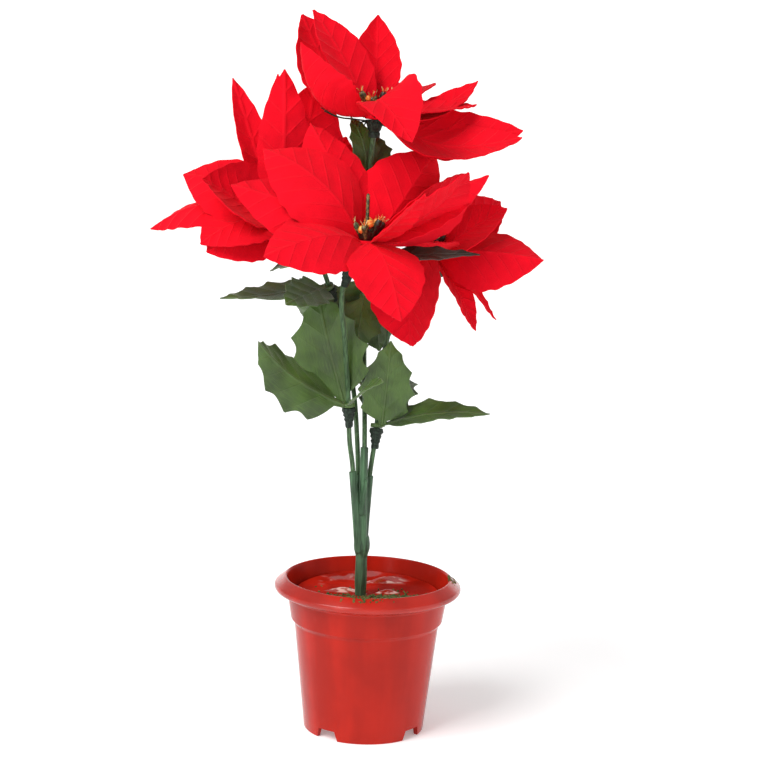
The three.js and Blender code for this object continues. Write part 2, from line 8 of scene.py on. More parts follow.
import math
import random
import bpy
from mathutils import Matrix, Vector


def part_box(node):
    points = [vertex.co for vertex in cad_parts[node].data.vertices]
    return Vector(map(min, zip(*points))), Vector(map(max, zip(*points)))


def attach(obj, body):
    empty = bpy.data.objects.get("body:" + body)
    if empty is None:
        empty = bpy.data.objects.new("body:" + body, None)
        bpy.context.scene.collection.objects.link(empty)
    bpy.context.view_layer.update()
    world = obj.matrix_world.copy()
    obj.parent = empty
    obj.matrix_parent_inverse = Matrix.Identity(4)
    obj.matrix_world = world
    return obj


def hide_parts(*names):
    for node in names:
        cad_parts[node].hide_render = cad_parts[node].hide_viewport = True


bl_info = {
    "name": "Artificial Poinsettia",
    "version": (1, 0, 0),
    "blender": (4, 5, 0),
    "location": "3D View > Sidebar > Poinsettia",
    "description": "Builds a potted artificial poinsettia of flocked cloth, satin cloth and moulded plastic",
    "category": "Add Mesh",
}

from contextlib import contextmanager
from typing import NamedTuple

import bmesh
import bpy
from bpy.props import FloatProperty, FloatVectorProperty, IntProperty, PointerProperty
from mathutils import Matrix, Quaternion, Vector

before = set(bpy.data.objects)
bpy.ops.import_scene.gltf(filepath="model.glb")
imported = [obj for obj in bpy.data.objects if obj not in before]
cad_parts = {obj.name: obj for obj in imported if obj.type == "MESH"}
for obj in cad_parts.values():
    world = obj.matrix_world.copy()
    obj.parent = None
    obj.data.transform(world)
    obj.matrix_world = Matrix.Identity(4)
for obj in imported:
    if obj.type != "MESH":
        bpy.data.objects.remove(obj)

BODY = "root"
MM = 0.001
UP = Vector((0, 0, 1))

POT_LOW, POT_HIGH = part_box("pot")
POT_AXIS = Vector(((POT_LOW.x + POT_HIGH.x) / 2, (POT_LOW.y + POT_HIGH.y) / 2, 0))

# ---------------- the plant's layout

# Petals of each bloom: tip from the bloom's centre, width, arch, cup (how far the edges fold up, as
# a share of the half width), roll about the petal's length in degrees, and, where one half is the
# narrower, by what share (below zero for the other half). Spokes lie under the petals they number.
BLOOMS = {
    "top": {
        "centre": (-4, 0, 328),
        "pistil": 11,
        "petals": (
            ((-34, 10, 53), 28, 4, 0.25, -35),
            ((-40, 25, 51), 40, -8, 0.2, -30),
            ((-39, -16, 37), 40, -14, 0.8, 0),
            ((0, 25, 52), 27, -3, 0.6, 0),
            ((19, -44, -10), 44, 16, 0.2, 30, 0.5),
            ((54, 25, 19), 24, -8, 0.2, 15),
            ((53, 15, 7), 24, 0, 0.2, 10),
            ((77, 2, -5), 34, -11, 0.1, 50),
            ((76, -8, -8), 36, -12, 0.2, 30),
            ((-23, 60, 30), 36, 5, 0.2, 0),
            ((27, 62, 14), 36, 5, 0.2, 0),
        ),
        "spokes": (2, 4, 8, 9, 10),
    },
    "front": {
        "centre": (-6, -30, 266),
        "pistil": 25,
        "petals": (
            ((-54, 8, 45), 48, 14, -0.25, -45),
            ((-69, -6, 27), 38, 8, -0.3, -55),
            ((-50, -38, -5), 41, 9, -0.3, -40),
            ((18, -42, -34), 40, 8, -0.1, 5),
            ((50, -18, 38), 46, -5, -0.1, -22, 0.2),
            ((61, 5, 35), 34, 4, -0.1, 35, -0.6),
            ((34, 36, 46), 46, 4, -0.4, 62),
            ((28, -46, 29), 15, -2, -0.3, 0),
            ((50, 35, 34), 26, 4, 0.1, 110),
            ((-31, 22, 58), 38, 5, -0.3, -35),
        ),
        "spokes": (2, 3),
    },
    "left": {
        "centre": (-50, 5, 271),
        "pistil": 11,
        "petals": (
            ((-29, 12, 74), 18, 2, 0.4, -50),
            ((-1, -10, 80), 29, 4, -0.2, -165),
            ((-5, 5, 77), 19, 3, 0.3, -50),
            ((14, 18, 73), 42, 6, 0.2, 50),
            ((31, 30, 44), 42, 4, 0.2, 40),
            ((-53, 5, 23), 40, 14, -0.2, -55),
            ((-42, -20, 23), 42, 0, 0.5, -50),
            ((-71, 15, -7), 32, 13, -0.3, -25),
            ((-41, -25, -10), 40, 8, 0.05, -30),
            ((-38, -24, -14), 38, 6, -0.05, -48),
        ),
        "spokes": (7, 8, 9),
    },
    "right": {
        "centre": (26, 10, 256),
        "pistil": 11,
        "petals": (
            ((26, -14, -37.5), 16, 2, 0.4, 15),
            ((37, -4, -33), 11, 2, 0.3, 10),
            ((60, -16, 1), 40, 5, -0.45, 48),
            ((41, -2, 26), 32, 1, 0.2, 38),
            ((4, -28, 10), 30, 0, 0.2, 0),
            ((-7, -16, -46), 44, 7, 0.4, 8),
            ((39, 36, 26), 30, 5, 0.2, 50),
        ),
        "spokes": (0, 2, 5),
    },
}

# Leaves of each whorl, in the same terms, from the point where the whorl sits on its stem.
WHORLS = {
    "low_left": {
        "stem": "front",
        "height": 178,
        "leaves": (
            ((-46, -40, 38), 35, -6, -0.45, -64),
            ((18, -44, 20), 18, 2, 0.2, 40),
            ((-18, 15, 56), 46, 3, 0.15, -65),
        ),
    },
    "low_right": {
        "stem": "right",
        "height": 165,
        "leaves": (
            ((6, -3, 46), 31, 4, 0.2, 120),
            ((59, -17, 11), 23, 4, 0.2, 25),
            ((11, 53, 20), 34, 5, 0.2, 10),
        ),
    },
    "upper_left": {
        "stem": "left",
        "height": 237,
        "leaves": (
            ((-55, -29, -5), 28, -1, 0.2, -10),
            ((-20, -45, -4), 26, 0, 0.2, -30),
            ((-13, 25, -21), 34, 4, -0.2, -130),
            ((17, 18, -24), 32, 3, 0.2, 100),
        ),
    },
    "under_front": {
        "stem": "front",
        "height": 253,
        "leaves": (((-42, 24, -7), 30, 4, 0.2, -20), ((66, 2, 7), 17, 3, 0.2, 25)),
    },
    "under_top": {
        "stem": "top",
        "height": 294,
        "leaves": (
            ((-11, 5, 33), 19, 6, 0.2, -30),
            ((3, 13, 23), 24, 3, 0.2, 5),
            ((16, 41, 3), 28, 4, 0.2, 35),
        ),
    },
    "middle": {
        "stem": "top",
        "height": 232,
        "leaves": (((8, 4, -30), 26, 4, -0.2, 105), ((-4, -14, -27), 30, 5, -0.2, -15)),
    },
    "under_right": {
        "stem": "right",
        "height": 240,
        "leaves": (((-3, 35, -20), 32, 4, -0.2, -170), ((25, 43, 8), 32, 4, 0.2, 10)),
    },
}
# Leaves painted near black as painted shade, where they lie in shadow: whorl and number.
SHADED_LEAVES = {("under_front", 1)}

STEMS = {
    "front": (
        (-9, -3, 132), (-10, -3, 144), (-12, -5, 158), (-13, -8, 178),
        (-16, -12, 213), (-18, -16, 237), (-14, -24, 253), (-7, -30, 261.5),
    ),
    "left": (
        (-6.6, 4, 128), (-7, 4, 139), (-8, 5, 156), (-11, 16, 182),
        (-17, 26, 207), (-24, 18, 232), (-33, 8, 253), (-49, 5, 266),
    ),
    "top": (
        (-4, -1, 142), (-4, -1, 154), (-5, 12, 182), (-6, 22, 208),
        (-6, 22, 235), (-6, 10, 284), (-5, 3, 311), (-4, 0, 323),
    ),
    "right": (
        (-1.6, 2, 127), (-0.8, 2, 138), (2, 3, 163), (3, 8, 183), (6, 8, 210), (13, 10, 233), (25, 10, 251),
    ),
}
STEM_RADIUS = 1.3

# The trunk's sleeves, from the collar to the mouth that holds a stem, and its cut side shoot.
SLEEVES = (
    ((-5, -1.5, 97), (-7.2, -2.6, 118), (-9.8, -3, 141)),
    ((-4.6, 1.5, 97), (-5.6, 3, 118), (-7, 4, 138)),
    ((-3.4, -1.2, 97), (-3.8, -1.5, 120), (-4, -1, 154)),
    ((-3.4, 1.4, 97), (-2.3, 1.8, 116), (-0.8, 2, 138)),
)
SLEEVE_RADIUS = 2.1
SLEEVE_TAPER = (1.25, 1.12, 1.0)
CUT_SHOOT = ((-4.2, -3.2, 118), (-3.4, -4.2, 128), (-2.6, -5, 137))
SHOOT_RADIUS = 1.1
SHOOT_TAPER = (1.6, 1.1, 0.7)
TRUNK_AXIS = (-3.8, 0, 0)
TRUNK_PROFILE = (
    (0, 66), (2.9, 66), (3, 74), (3.3, 81), (3.2, 86), (3.05, 93.5),
    (3.3, 95), (4.3, 98.6), (4.4, 101), (3.9, 105), (0, 108),
)
TRUNK_VOXEL = 0.34

POT_PROFILE = (
    (0, 6), (29.8, 6), (29.8, 0), (32.2, 0),
    (38.7, 58), (39.4, 59.2), (40.7, 60.4), (40.9, 61.8), (42.7, 72.8),
    (43.6, 73.9), (46.5, 75), (49.3, 76.2), (50, 77.5), (49.8, 79), (44.7, 83.1), (43.9, 83.3),
    (43.3, 82.7), (41, 72.5), (39.4, 62), (37, 57), (31.3, 7.7), (0, 7.7),
)
POT_ROUNDING = 0.7
RIM_FOOT = (73.5, 74.5)  # heights between which the band passes into the rim
LIP_EDGE = (43.47, 44.27)  # radii between which the inner wall passes into the rim's top

NOTCH_ANGLES = (53, 143, 233, 323)
NOTCH_SIZE = (13.6, 12, 5.6)
NOTCH_TOP_SHARE = 0.76
NOTCH_REACH = 31
NOTCH_BELOW = 0.2

GLUE_TOP = 72.6
GLUE_FOOT = 64.3
GLUE_RADIUS = 39.4
GLUE_RINGS = 34
GLUE_BACK_RISE = 3
# Folds of glue: place from the pot's axis, turn in degrees, half length and half width.
GLUE_FOLDS = (((9, 27), 20, 11, 2.6), ((11, 4), 8, 6, 2.2), ((-14, 5), 5, 8, 2.4), ((-9, 31), -35, 4, 2))
GLUE_FOLD_HIGH = 3
# Unevenness of the glue: name, cell size and height of each cloud.
GLUE_LUMPS = (("lumps", 18, 1.6), ("drips", 7, 0.3))
# Where the glue is wet: its middle, how far to each side and how far back the whitish painted
# highlights reach, and how far over its level a fold turns glossy and takes the painted highlights.
WET_MIDDLE = -2
WET_SIDES = (18, 26)
HIGHLIGHT_BACK = (26, 31)
WET_OVER = (0.5, 1)

CRUMB_RADIUS = 0.5
CRUMB_SIZES = (0.5, 1.5)
CRUMB_LIFT = 0.3
RIM_CRUMB_BAND = (43.4, 47)
RIM_CRUMB_ANGLES = ((3, 4), (-92, 9))  # middle and spread in degrees: at the right, and in front
RIM_CREST = 44.3
RIM_SLOPE = 0.8
# The drift of moss right of the trunk, by middle and spread, and the thin scatter round it.
DRIFT_ACROSS, DRIFT_DEEP = (15, 8), (-3.6, 2.2)
SCATTER_ACROSS, SCATTER_DEEP = (-30, 2), (-26, 14)


class BladeKind(NamedTuple):
    """What all petals, or all leaves, have in common."""

    ring: float  # from the centre to the blade's foot
    bow: float  # where along the chord the arc is pulled, as a share
    veins: int  # pairs of side veins
    sweep: float  # how far a side vein runs forward for each step outward
    relief: float  # height of the pressed veins
    waves: tuple  # slow unevenness: name, cell size and height of each cloud
    grid: tuple  # steps along and across


PETAL = BladeKind(4, 0.42, 7, 0.95, 0.55, (("broad wave", 26, 3), ("pucker", 8, 1.5)), (70, 26))
LEAF = BladeKind(3, 0.5, 5, 1.1, 0.4, (("broad wave", 26, 4), ("pucker", 8, 1.4)), (76, 22))

# A petal's outline: exponents of its swell and its fall, its neck and its blunt tip.
PETAL_RISE, PETAL_FALL, PETAL_NECK, PETAL_TIP = 0.8, 0.92, 0.16, 0.02
SCALLOP_DEPTH = 0.022
SCALLOP_START = 0.4
# A leaf's outline: place and half width of each spine, and how deep the arc before it is hollowed.
LEAF_SPINES = ((0, 0.1), (0.08, 0.15), (0.24, 0.84), (0.44, 1), (0.67, 0.82), (0.86, 0.42), (1, 0.02))
LEAF_HOLLOWS = (0, -0.08, 0.17, 0.15, 0.11, 0.05)

# The small mouldings that petals and leaves are fused with.
DISC_PROFILE = ((0, -1.1), (5.3, -1.1), (5.3, 1.1), (0, 1.1))
RING_PROFILE = ((1.2, -1.1), (3.3, -1.1), (3.3, 1.1), (1.2, 1.1), (1.2, -1.1))

# Hearts: buds that lean outward with bristles on their crowns, berries between them, a pistil.
BUD_PROFILE = ((0, 0), (0.95, 0.2), (1.1, 4.6), (1.6, 8.2), (1.85, 10.6), (1.4, 12.3), (0.6, 12.9), (0, 13))
BUD_COUNT = 7
BUD_FOOT = (3.4, 1.6)  # outward for a whole lean, and up
BUD_LEANS = (0.46, 0.74)
BUD_STRETCH = (0.75, 1.05)
BUD_CROWN = 11.6
BRISTLE_COUNT = 7
BRISTLE_RADII = (0.34, 0.14)
BRISTLE_LONG = 4
BRISTLE_SPREAD = 0.55
BERRY_RADIUS = 1.9
BERRY_REACH = (3.8, 6.6)
BERRY_HEIGHTS = (6.5, 10.5)
BERRY_SIZES = (0.8, 1.15)
PISTIL_FOOT = 2
BEAD_LONG = 0.9
CUP_PROFILE = ((0, 1.1), (3.2, 1.1), (4.3, 2.8), (5.4, 6), (4.6, 6.4), (2.8, 4.6), (0, 3.8))

HOLDER_PROFILE = (
    (1.5, -10.6), (2.9, -10.6), (3.1, -8.4), (2.7, -7.6), (3.4, -6.6), (4.4, -3.4), (4.7, -1.5),
    (0, -1.4), (0, -6), (1.5, -6.4), (1.5, -10.6),
)
HUB_DROP = 2.6
PRONG_COUNT = 11
PRONG_REACH = (3.8, 6.4, 8.6)
PRONG_DROP = 1.5
PRONG_RADIUS = 0.5
PRONG_TAPER = (1, 0.8, 0.3)
SPOKE_ASIDE = (-1.5, 0.2, 1.9)
SPOKE_SHARES = (0.1, 0.24, 0.46)
SPOKE_DROP = 1.1
SPOKE_RADIUS = 0.36
SPOKE_TAPER = (1.4, 1.1, 1, 0.7)
COLLAR_PROFILE = (
    (1.5, -12.4), (2, -12.5), (2.3, -11), (2.1, -9.6), (2.7, -8.4), (2.4, -7.2), (3.1, -6), (2.9, -4.8),
    (3.8, -3.4), (3.4, -1.5), (1.5, -1.4), (1.5, -12.4),
)


def at(x, y, z):
    """A point of the plant's layout in the frame, in metres."""
    return POT_AXIS + Vector((x, y, z)) * MM


def route(points):
    return [at(*point) for point in points]


def stem_point(whorl):
    """Where a whorl's stem passes its height, and the stem's direction there."""
    points = route(STEMS[whorl["stem"]])
    height = whorl["height"] * MM
    for before, after in zip(points, points[1:]):
        if before.z <= height <= after.z:
            share = (height - before.z) / (after.z - before.z)
            return before.lerp(after, share), (after - before).normalized()
    raise ValueError("the whorl lies past the ends of its stem")


def petal_half(u):
    """A petal's half width along its length, as a share of its greatest half width."""
    widest = PETAL_RISE / (PETAL_RISE + PETAL_FALL)

    def swell(t):
        return t**PETAL_RISE * (1 - t) ** PETAL_FALL

    neck = PETAL_NECK * (1 - u) if u < 0.5 else PETAL_TIP
    return max(swell(u) / swell(widest), neck)


def scalloped_half(veins):
    """The petal's half width with its margin drawn in a little where each side vein ends."""

    def half(u):
        notch = 1 - math.cos(2 * math.pi * (u * veins - SCALLOP_START))
        return petal_half(u) * (1 - SCALLOP_DEPTH * notch * min(1.0, 4 * u))

    return half


def leaf_half(u):
    """A leaf's half width along its length: spines with hollow arcs between them."""
    for (low, start), (high, end), hollow in zip(LEAF_SPINES, LEAF_SPINES[1:], LEAF_HOLLOWS):
        if u <= high:
            share = (u - low) / (high - low)
            return start + (end - start) * share - hollow * math.sin(math.pi * share)
    return LEAF_SPINES[-1][1]


# ---------------- modelling helpers


def only(obj):
    """Makes one object the whole selection."""
    bpy.ops.object.select_all(action="DESELECT")
    obj.select_set(True)
    bpy.context.view_layer.objects.active = obj
    return obj


def primitive(name, add, **settings):
    """Adds a primitive at the origin, or where its settings say, and names it."""
    bpy.ops.object.select_all(action="DESELECT")
    add(**{"location": (0, 0, 0), **settings})
    obj = bpy.context.object
    obj.name = name
    obj.data.name = name
    return obj


@contextmanager
def editing(obj):
    """Edit mode on one object, with vertex selection and everything selected."""
    only(obj)
    bpy.ops.object.mode_set(mode="EDIT")
    bpy.ops.mesh.select_mode(type="VERT")
    bpy.ops.mesh.select_all(action="SELECT")
    yield
    bpy.ops.object.mode_set(mode="OBJECT")


def choose(obj, wanted):
    """Selects the vertices of the object in edit mode whose place passes a test."""
    mesh = bmesh.from_edit_mesh(obj.data)
    for vertex in mesh.verts:
        vertex.select = wanted(vertex.co)
    mesh.select_flush(True)
    mesh.select_flush(False)
    bmesh.update_edit_mesh(obj.data)


def freeze(obj):
    """Puts the object's place, turn and scale into its mesh."""
    only(obj)
    bpy.ops.object.transform_apply(location=True, rotation=True, scale=True)
    return obj


def put(obj, place):
    """Moves a piece that was modelled at the origin, for good."""
    obj.location = place
    return freeze(obj)


def modify(obj, kind, **settings):
    """Adds a modifier and applies it."""
    only(obj)
    modifier = obj.modifiers.new(kind.title(), kind)
    for key, value in settings.items():
        setattr(modifier, key, value)
    bpy.ops.object.modifier_apply(modifier=modifier.name)
    return obj


def lift(obj, height, group):
    """Raises the mesh by a height in metres, as far as a vertex group says."""
    return modify(obj, "DISPLACE", direction="Z", strength=height, mid_level=0, vertex_group=group)


def clouds(name, size, depth=2):
    """A procedural cloud texture for the Displace modifier, of a cell size in millimetres."""
    texture = bpy.data.textures.get(name) or bpy.data.textures.new(name, "CLOUDS")
    texture.noise_scale = size * MM
    texture.noise_depth = depth
    return texture


def roughen(obj, height, texture, **settings):
    """Moves the surface in and out by a cloud, over a height in millimetres."""
    return modify(obj, "DISPLACE", strength=height * MM, mid_level=0.5, texture=texture, **settings)


def another(obj, matrix=None):
    """A copy with a mesh of its own, placed by a matrix."""
    twin = obj.copy()
    twin.data = obj.data.copy()
    bpy.context.scene.collection.objects.link(twin)
    if matrix is not None:
        twin.matrix_world = matrix @ obj.matrix_world
        freeze(twin)
    return twin


def discard(*objects):
    for obj in objects:
        bpy.data.objects.remove(obj)


def joined(objects, name):
    """Joins objects into one, with its place in its mesh."""
    bpy.ops.object.select_all(action="DESELECT")
    for obj in objects:
        obj.select_set(True)
    bpy.context.view_layer.objects.active = objects[0]
    if len(objects) > 1:
        bpy.ops.object.join()
    whole = bpy.context.object
    whole.name = name
    whole.data.name = name
    return freeze(whole)


def smooth(obj, degrees):
    """Smooth shading, apart from edges that turn by more than an angle."""
    only(obj)
    bpy.ops.object.shade_smooth_by_angle(angle=math.radians(degrees))
    return obj


def dress(obj, *materials):
    """Gives the object its materials, in slot order."""
    obj.data.materials.clear()
    for material in materials:
        obj.data.materials.append(material)
    return obj


def seat(obj, slot, *nodes):
    """Lets a finished piece ride on the body and stand for its nodes."""
    if not obj.data.polygons:
        raise RuntimeError(f"{obj.name} came out without a face")
    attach(obj, BODY)
    if nodes:
        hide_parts(*nodes)
    return obj


def facing(point, direction):
    """The matrix that carries an upright piece at the origin to a point, along a direction."""
    turn = UP.rotation_difference(direction)
    return Matrix.Translation(point) @ turn.to_matrix().to_4x4()


def round_about(angle):
    """The level direction at an angle from +X."""
    return Vector((math.cos(angle), math.sin(angle), 0))


def turned(name, profile, steps, rounding=0.0):
    """A body of revolution about Z: its profile is extruded point by point and spun round."""
    points = [Vector((radius * MM, 0, height * MM)) for radius, height in profile]
    body = primitive(name, bpy.ops.mesh.primitive_plane_add, size=MM)
    with editing(body):
        bpy.ops.mesh.merge(type="CENTER")
        bpy.ops.transform.translate(value=points[0])
        for last, point in zip(points, points[1:]):
            bpy.ops.mesh.extrude_region_move(TRANSFORM_OT_translate={"value": point - last})
        if rounding:
            choose(body, lambda place: place.x > 0.2 * MM)
            arc = {"offset_type": "OFFSET", "segments": 3, "affect": "VERTICES", "clamp_overlap": True}
            bpy.ops.mesh.bevel(offset=rounding * MM, **arc)
        bpy.ops.mesh.select_all(action="SELECT")
        bpy.ops.mesh.spin(steps=steps, angle=2 * math.pi, center=(0, 0, 0), axis=(0, 0, 1))
        bpy.ops.mesh.select_all(action="SELECT")
        bpy.ops.mesh.remove_doubles(threshold=0.005 * MM)
        bpy.ops.mesh.normals_make_consistent(inside=False)
    return body


def tube(name, points, radius, sides=4, taper=None):
    """A round rod through points, as a smooth curve with a round section turned into a mesh."""
    curve = bpy.data.curves.new(name, "CURVE")
    curve.dimensions = "3D"
    curve.bevel_depth = radius * MM
    curve.bevel_resolution = sides
    curve.resolution_u = 10
    curve.use_fill_caps = True
    spline = curve.splines.new("BEZIER")
    spline.bezier_points.add(len(points) - 1)
    for index, (knot, point) in enumerate(zip(spline.bezier_points, points)):
        knot.co = point
        knot.handle_left_type = knot.handle_right_type = "AUTO"
        knot.radius = taper[index] if taper else 1
    rod = bpy.data.objects.new(name, curve)
    bpy.context.scene.collection.objects.link(rod)
    only(rod)
    bpy.ops.object.convert(target="MESH")
    return bpy.context.object


# ---------------- shader helpers


class Socket:
    """An output of a shader node, on which Python's operators add Math nodes."""

    def __init__(self, finish, output):
        self.finish = finish
        self.output = output

    def math(self, operation, first, second=0.0):
        return self.finish.add("ShaderNodeMath", {"operation": operation}, {0: first, 1: second})

    def __add__(self, other):
        return self.math("ADD", self, other)

    def __radd__(self, other):
        return self.math("ADD", other, self)

    def __sub__(self, other):
        return self.math("SUBTRACT", self, other)

    def __rsub__(self, other):
        return self.math("SUBTRACT", other, self)

    def __mul__(self, other):
        return self.math("MULTIPLY", self, other)

    def __rmul__(self, other):
        return self.math("MULTIPLY", other, self)

    def __abs__(self):
        return self.math("ABSOLUTE", self)

    def from_whole(self):
        """The distance to the nearest whole number."""
        return self.math("PINGPONG", self, 0.5)

    def rising(self, low, high):
        """0 below low, 1 above high, and smooth between."""
        inputs = {"Value": self, "From Min": low, "From Max": high}
        return self.finish.add("ShaderNodeMapRange", {"interpolation_type": "SMOOTHSTEP"}, inputs)

    def falling(self, low, high):
        return 1 - self.rising(low, high)


class Finish:
    """A material under construction: its Principled shader, and any other node by one method."""

    def __init__(self, name, uniform):
        self.material = bpy.data.materials.new(name)
        self.material.use_nodes = True
        self.tree = self.material.node_tree
        self.shader = self.tree.nodes["Principled BSDF"]
        for socket, value in uniform.items():
            self.shader.inputs[socket].default_value = value

    def add(self, kind, settings=None, inputs=None, output=0):
        node = self.tree.nodes.new(kind)
        for key, value in (settings or {}).items():
            setattr(node, key, value)
        for key, value in (inputs or {}).items():
            self.feed(node.inputs[key], value)
        return Socket(self, node.outputs[output])

    def feed(self, socket, value):
        if isinstance(value, Socket):
            self.tree.links.new(value.output, socket)
        else:
            socket.default_value = value

    def paint(self, socket, value):
        self.feed(self.shader.inputs[socket], value)

    def place(self):
        """Object coordinates."""
        return self.add("ShaderNodeTexCoord", output="Object")

    def from_pot(self):
        """Across, deep and up from the pot's axis, in metres."""
        inputs = {0: self.place(), 1: POT_AXIS}
        return self.parts(self.add("ShaderNodeVectorMath", {"operation": "SUBTRACT"}, inputs))

    def parts(self, vector):
        """The X, Y and Z of a vector."""
        node = self.add("ShaderNodeSeparateXYZ", inputs={0: vector}).output.node
        return [Socket(self, output) for output in node.outputs]

    def stretched(self, vector, scale):
        return self.add("ShaderNodeMapping", inputs={"Vector": vector, "Scale": scale})

    def noise(self, vector, scale, detail=2.0, roughness=0.5):
        inputs = {"Vector": vector, "Scale": scale, "Detail": detail, "Roughness": roughness}
        return self.add("ShaderNodeTexNoise", inputs=inputs)

    def mixed(self, share, first, second):
        """Two colours blended by a share."""
        return self.add("ShaderNodeMix", {"data_type": "RGBA"}, {0: share, 6: first, 7: second}, output=2)

    def toned(self, share, colour, low, high):
        """One colour between two shades of it."""
        return self.mixed(share, shade(colour, low), shade(colour, high))

    def relief(self, height):
        """Bump from a height in millimetres."""
        inputs = {"Strength": 1.0, "Distance": MM, "Height": height}
        self.paint("Normal", self.add("ShaderNodeBump", inputs=inputs))


def shade(colour, factor, lift=0.0):
    """A colour made darker or lighter, as four numbers."""
    return tuple(min(1.0, channel * factor + lift) for channel in colour[:3]) + (1.0,)


# ---------------- finishes

# Whitish painted highlight for the glue's wet folds, which stands also for milk-white thick glue.
GLUE_MILK_AND_HIGHLIGHT = (0.9, 0.58, 0.5, 1)
DRY_MOSS = (0.13, 0.12, 0.03, 1)
# Leaf cloth: the veins of its upper side, and the ground and veins of the other two cloths; the last is
# painted shade.
LEAF_VEIN = (0.16, 0.22, 0.09)
UNDERSIDE = ((0.1, 0.13, 0.062), (0.2, 0.23, 0.14))
SHADED_LEAF_CLOTH = ((0.022, 0.026, 0.016), (0.05, 0.055, 0.04))
PETAL_UNDERSIDE_SHADE = 0.93
# The hearts' finishes: name, moulded colour, and the colour brushed over it.
HEART_PAINTS = (
    ("dark bud", (0.02, 0.006, 0.006), (0.012, 0.03, 0.014)),
    ("olive bud", (0.03, 0.05, 0.018), (0.2, 0.17, 0.06)),
    ("orange berry", (0.75, 0.16, 0.02), (0.95, 0.5, 0.1)),
    ("red bristle", (0.5, 0.02, 0.01), (0.8, 0.12, 0.04)),
    ("straw bristle", (0.5, 0.36, 0.12), (0.8, 0.68, 0.36)),
)
# Lengthwise ribs of the mouldings: how many to the metre, and their depth.
TRUNK_RIBS = (620, 1.6)
STEM_RIBS = (1500, 0.1)


def pot_plastic(colour):
    """Brick-red moulding: soft vertical flow streaks, faint scuffs, glossier on the rim's top."""
    finish = Finish("pot plastic", {"IOR": 1.45, "Specular IOR Level": 0.06, "Coat Roughness": 0.25})
    place = finish.place()
    streaks = finish.noise(finish.stretched(place, (1, 1, 0.06)), 55, 3)
    clouding = finish.noise(place, 38, 3)
    share = streaks * 0.7 + clouding * 0.3
    finish.paint("Base Color", finish.toned(share.rising(0.38, 0.62), colour, 0.82, 1.14))
    scuffs = finish.noise(finish.stretched(place, (1, 1, 0.3)), 900, 2)
    finish.paint("Roughness", 0.2 + clouding * 0.08 + scuffs.rising(0.66, 0.85) * 0.05)
    across, deep, height = finish.from_pot()
    inner, outer = ((radius * MM) ** 2 for radius in LIP_EDGE)
    on_top = (across * across + deep * deep).rising(inner, outer)
    at_rim = height.rising(RIM_FOOT[0] * MM, RIM_FOOT[1] * MM)
    finish.paint("Coat Weight", at_rim * on_top * 0.8 + (1 - at_rim) * 0.3)
    finish.relief(streaks * 0.5 + scuffs * 0.004)
    return finish.material


def plaster_cast(colour):
    finish = Finish("plaster cast", {"Roughness": 0.9})
    grain = finish.noise(finish.place(), 700, 4)
    finish.paint("Base Color", finish.toned(grain.rising(0.3, 0.7), colour, 0.85, 1.1))
    finish.relief(grain * 0.3)
    return finish.material


def set_glue(colour):
    """Hot glue that has set: slow, soft runs, with folds round the trunk that are wet, with whitish painted
    highlights that stand also for milk-white glue.
    """
    finish = Finish("set glue", {"Specular IOR Level": 0.03, "Coat IOR": 2.1, "Coat Roughness": 0.1})
    place = finish.place()
    across, deep, height = finish.from_pot()
    near_trunk = abs(across - WET_MIDDLE * MM).falling(WET_SIDES[0] * MM, WET_SIDES[1] * MM)
    on_fold = height.rising((GLUE_TOP + WET_OVER[0]) * MM, (GLUE_TOP + WET_OVER[1]) * MM)
    body = finish.noise(place, 60, 2)
    runs = finish.noise(finish.stretched(place, (1, 2.2, 1)), 130, 2)
    tone = finish.toned(body.rising(0.36, 0.64), colour, 0.75, 1.15)
    # Painted highlight: whitish streaks on the wet folds near the trunk, where highlights fall, standing
    # also for milk-white thick glue.
    thick = on_fold * near_trunk * deep.falling(HIGHLIGHT_BACK[0] * MM, HIGHLIGHT_BACK[1] * MM)
    milk_and_highlight = thick * runs.rising(0.5, 0.6) * 0.75
    finish.paint("Base Color", finish.mixed(milk_and_highlight, tone, GLUE_MILK_AND_HIGHLIGHT))
    finish.paint("Roughness", 0.3 + body * 0.15)
    finish.paint("Coat Weight", on_fold * near_trunk)
    finish.relief((body + runs * 0.8) * near_trunk)
    return finish.material


def dyed_moss(colour):
    finish = Finish("dyed moss", {"Roughness": 0.95})
    place = finish.place()
    tone = finish.noise(place, 420, 2)
    finish.paint("Base Color", finish.mixed(tone.rising(0.42, 0.6), shade(colour, 0.55), DRY_MOSS))
    finish.relief(finish.noise(place, 3200, 2) * 0.2)
    return finish.material


def stem_plastic(name, colour, ribs, depth):
    """Dark green moulding with lengthwise ribs, of so many to the metre and so deep; the ribs' tops are
    painted lighter, a painted highlight.
    """
    finish = Finish(name, {"IOR": 1.48, "Specular IOR Level": 0.35})
    place = finish.place()
    lines = finish.noise(finish.stretched(place, (1, 1, 0.05)), ribs, 2)
    clouding = finish.noise(place, 90, 2)
    tone = finish.toned(clouding.rising(0.35, 0.65), colour, 0.75, 1.2)
    # Painted highlight: the raised ribs are painted a much lighter green than the grooves.
    finish.paint("Base Color", finish.mixed(lines.rising(0.4, 0.66) * 0.75, tone, shade(colour, 2.5)))
    finish.paint("Roughness", 0.38 + lines * 0.2)
    finish.relief(lines * depth)
    return finish.material


def dark_plastic(colour):
    finish = Finish("holder plastic", {"IOR": 1.48, "Specular IOR Level": 0.25})
    grain = finish.noise(finish.place(), 800, 3)
    finish.paint("Base Color", finish.toned(grain.rising(0.4, 0.66), colour, 0.6, 1.9))
    finish.paint("Roughness", 0.4 + grain * 0.2)
    finish.relief(grain * 0.12)
    return finish.material


def cloth_finish(name, uniform, tint):
    """A cloth material, with its map of the flat blade: the map, along it and away from its rib."""
    finish = Finish(name, {**uniform, "Sheen Tint": (*tint, 1.0)})
    flat = finish.add("ShaderNodeUVMap", {"uv_map": "cloth"})
    along, across, _ = finish.parts(flat)
    return finish, flat, along, abs(across - 0.5)


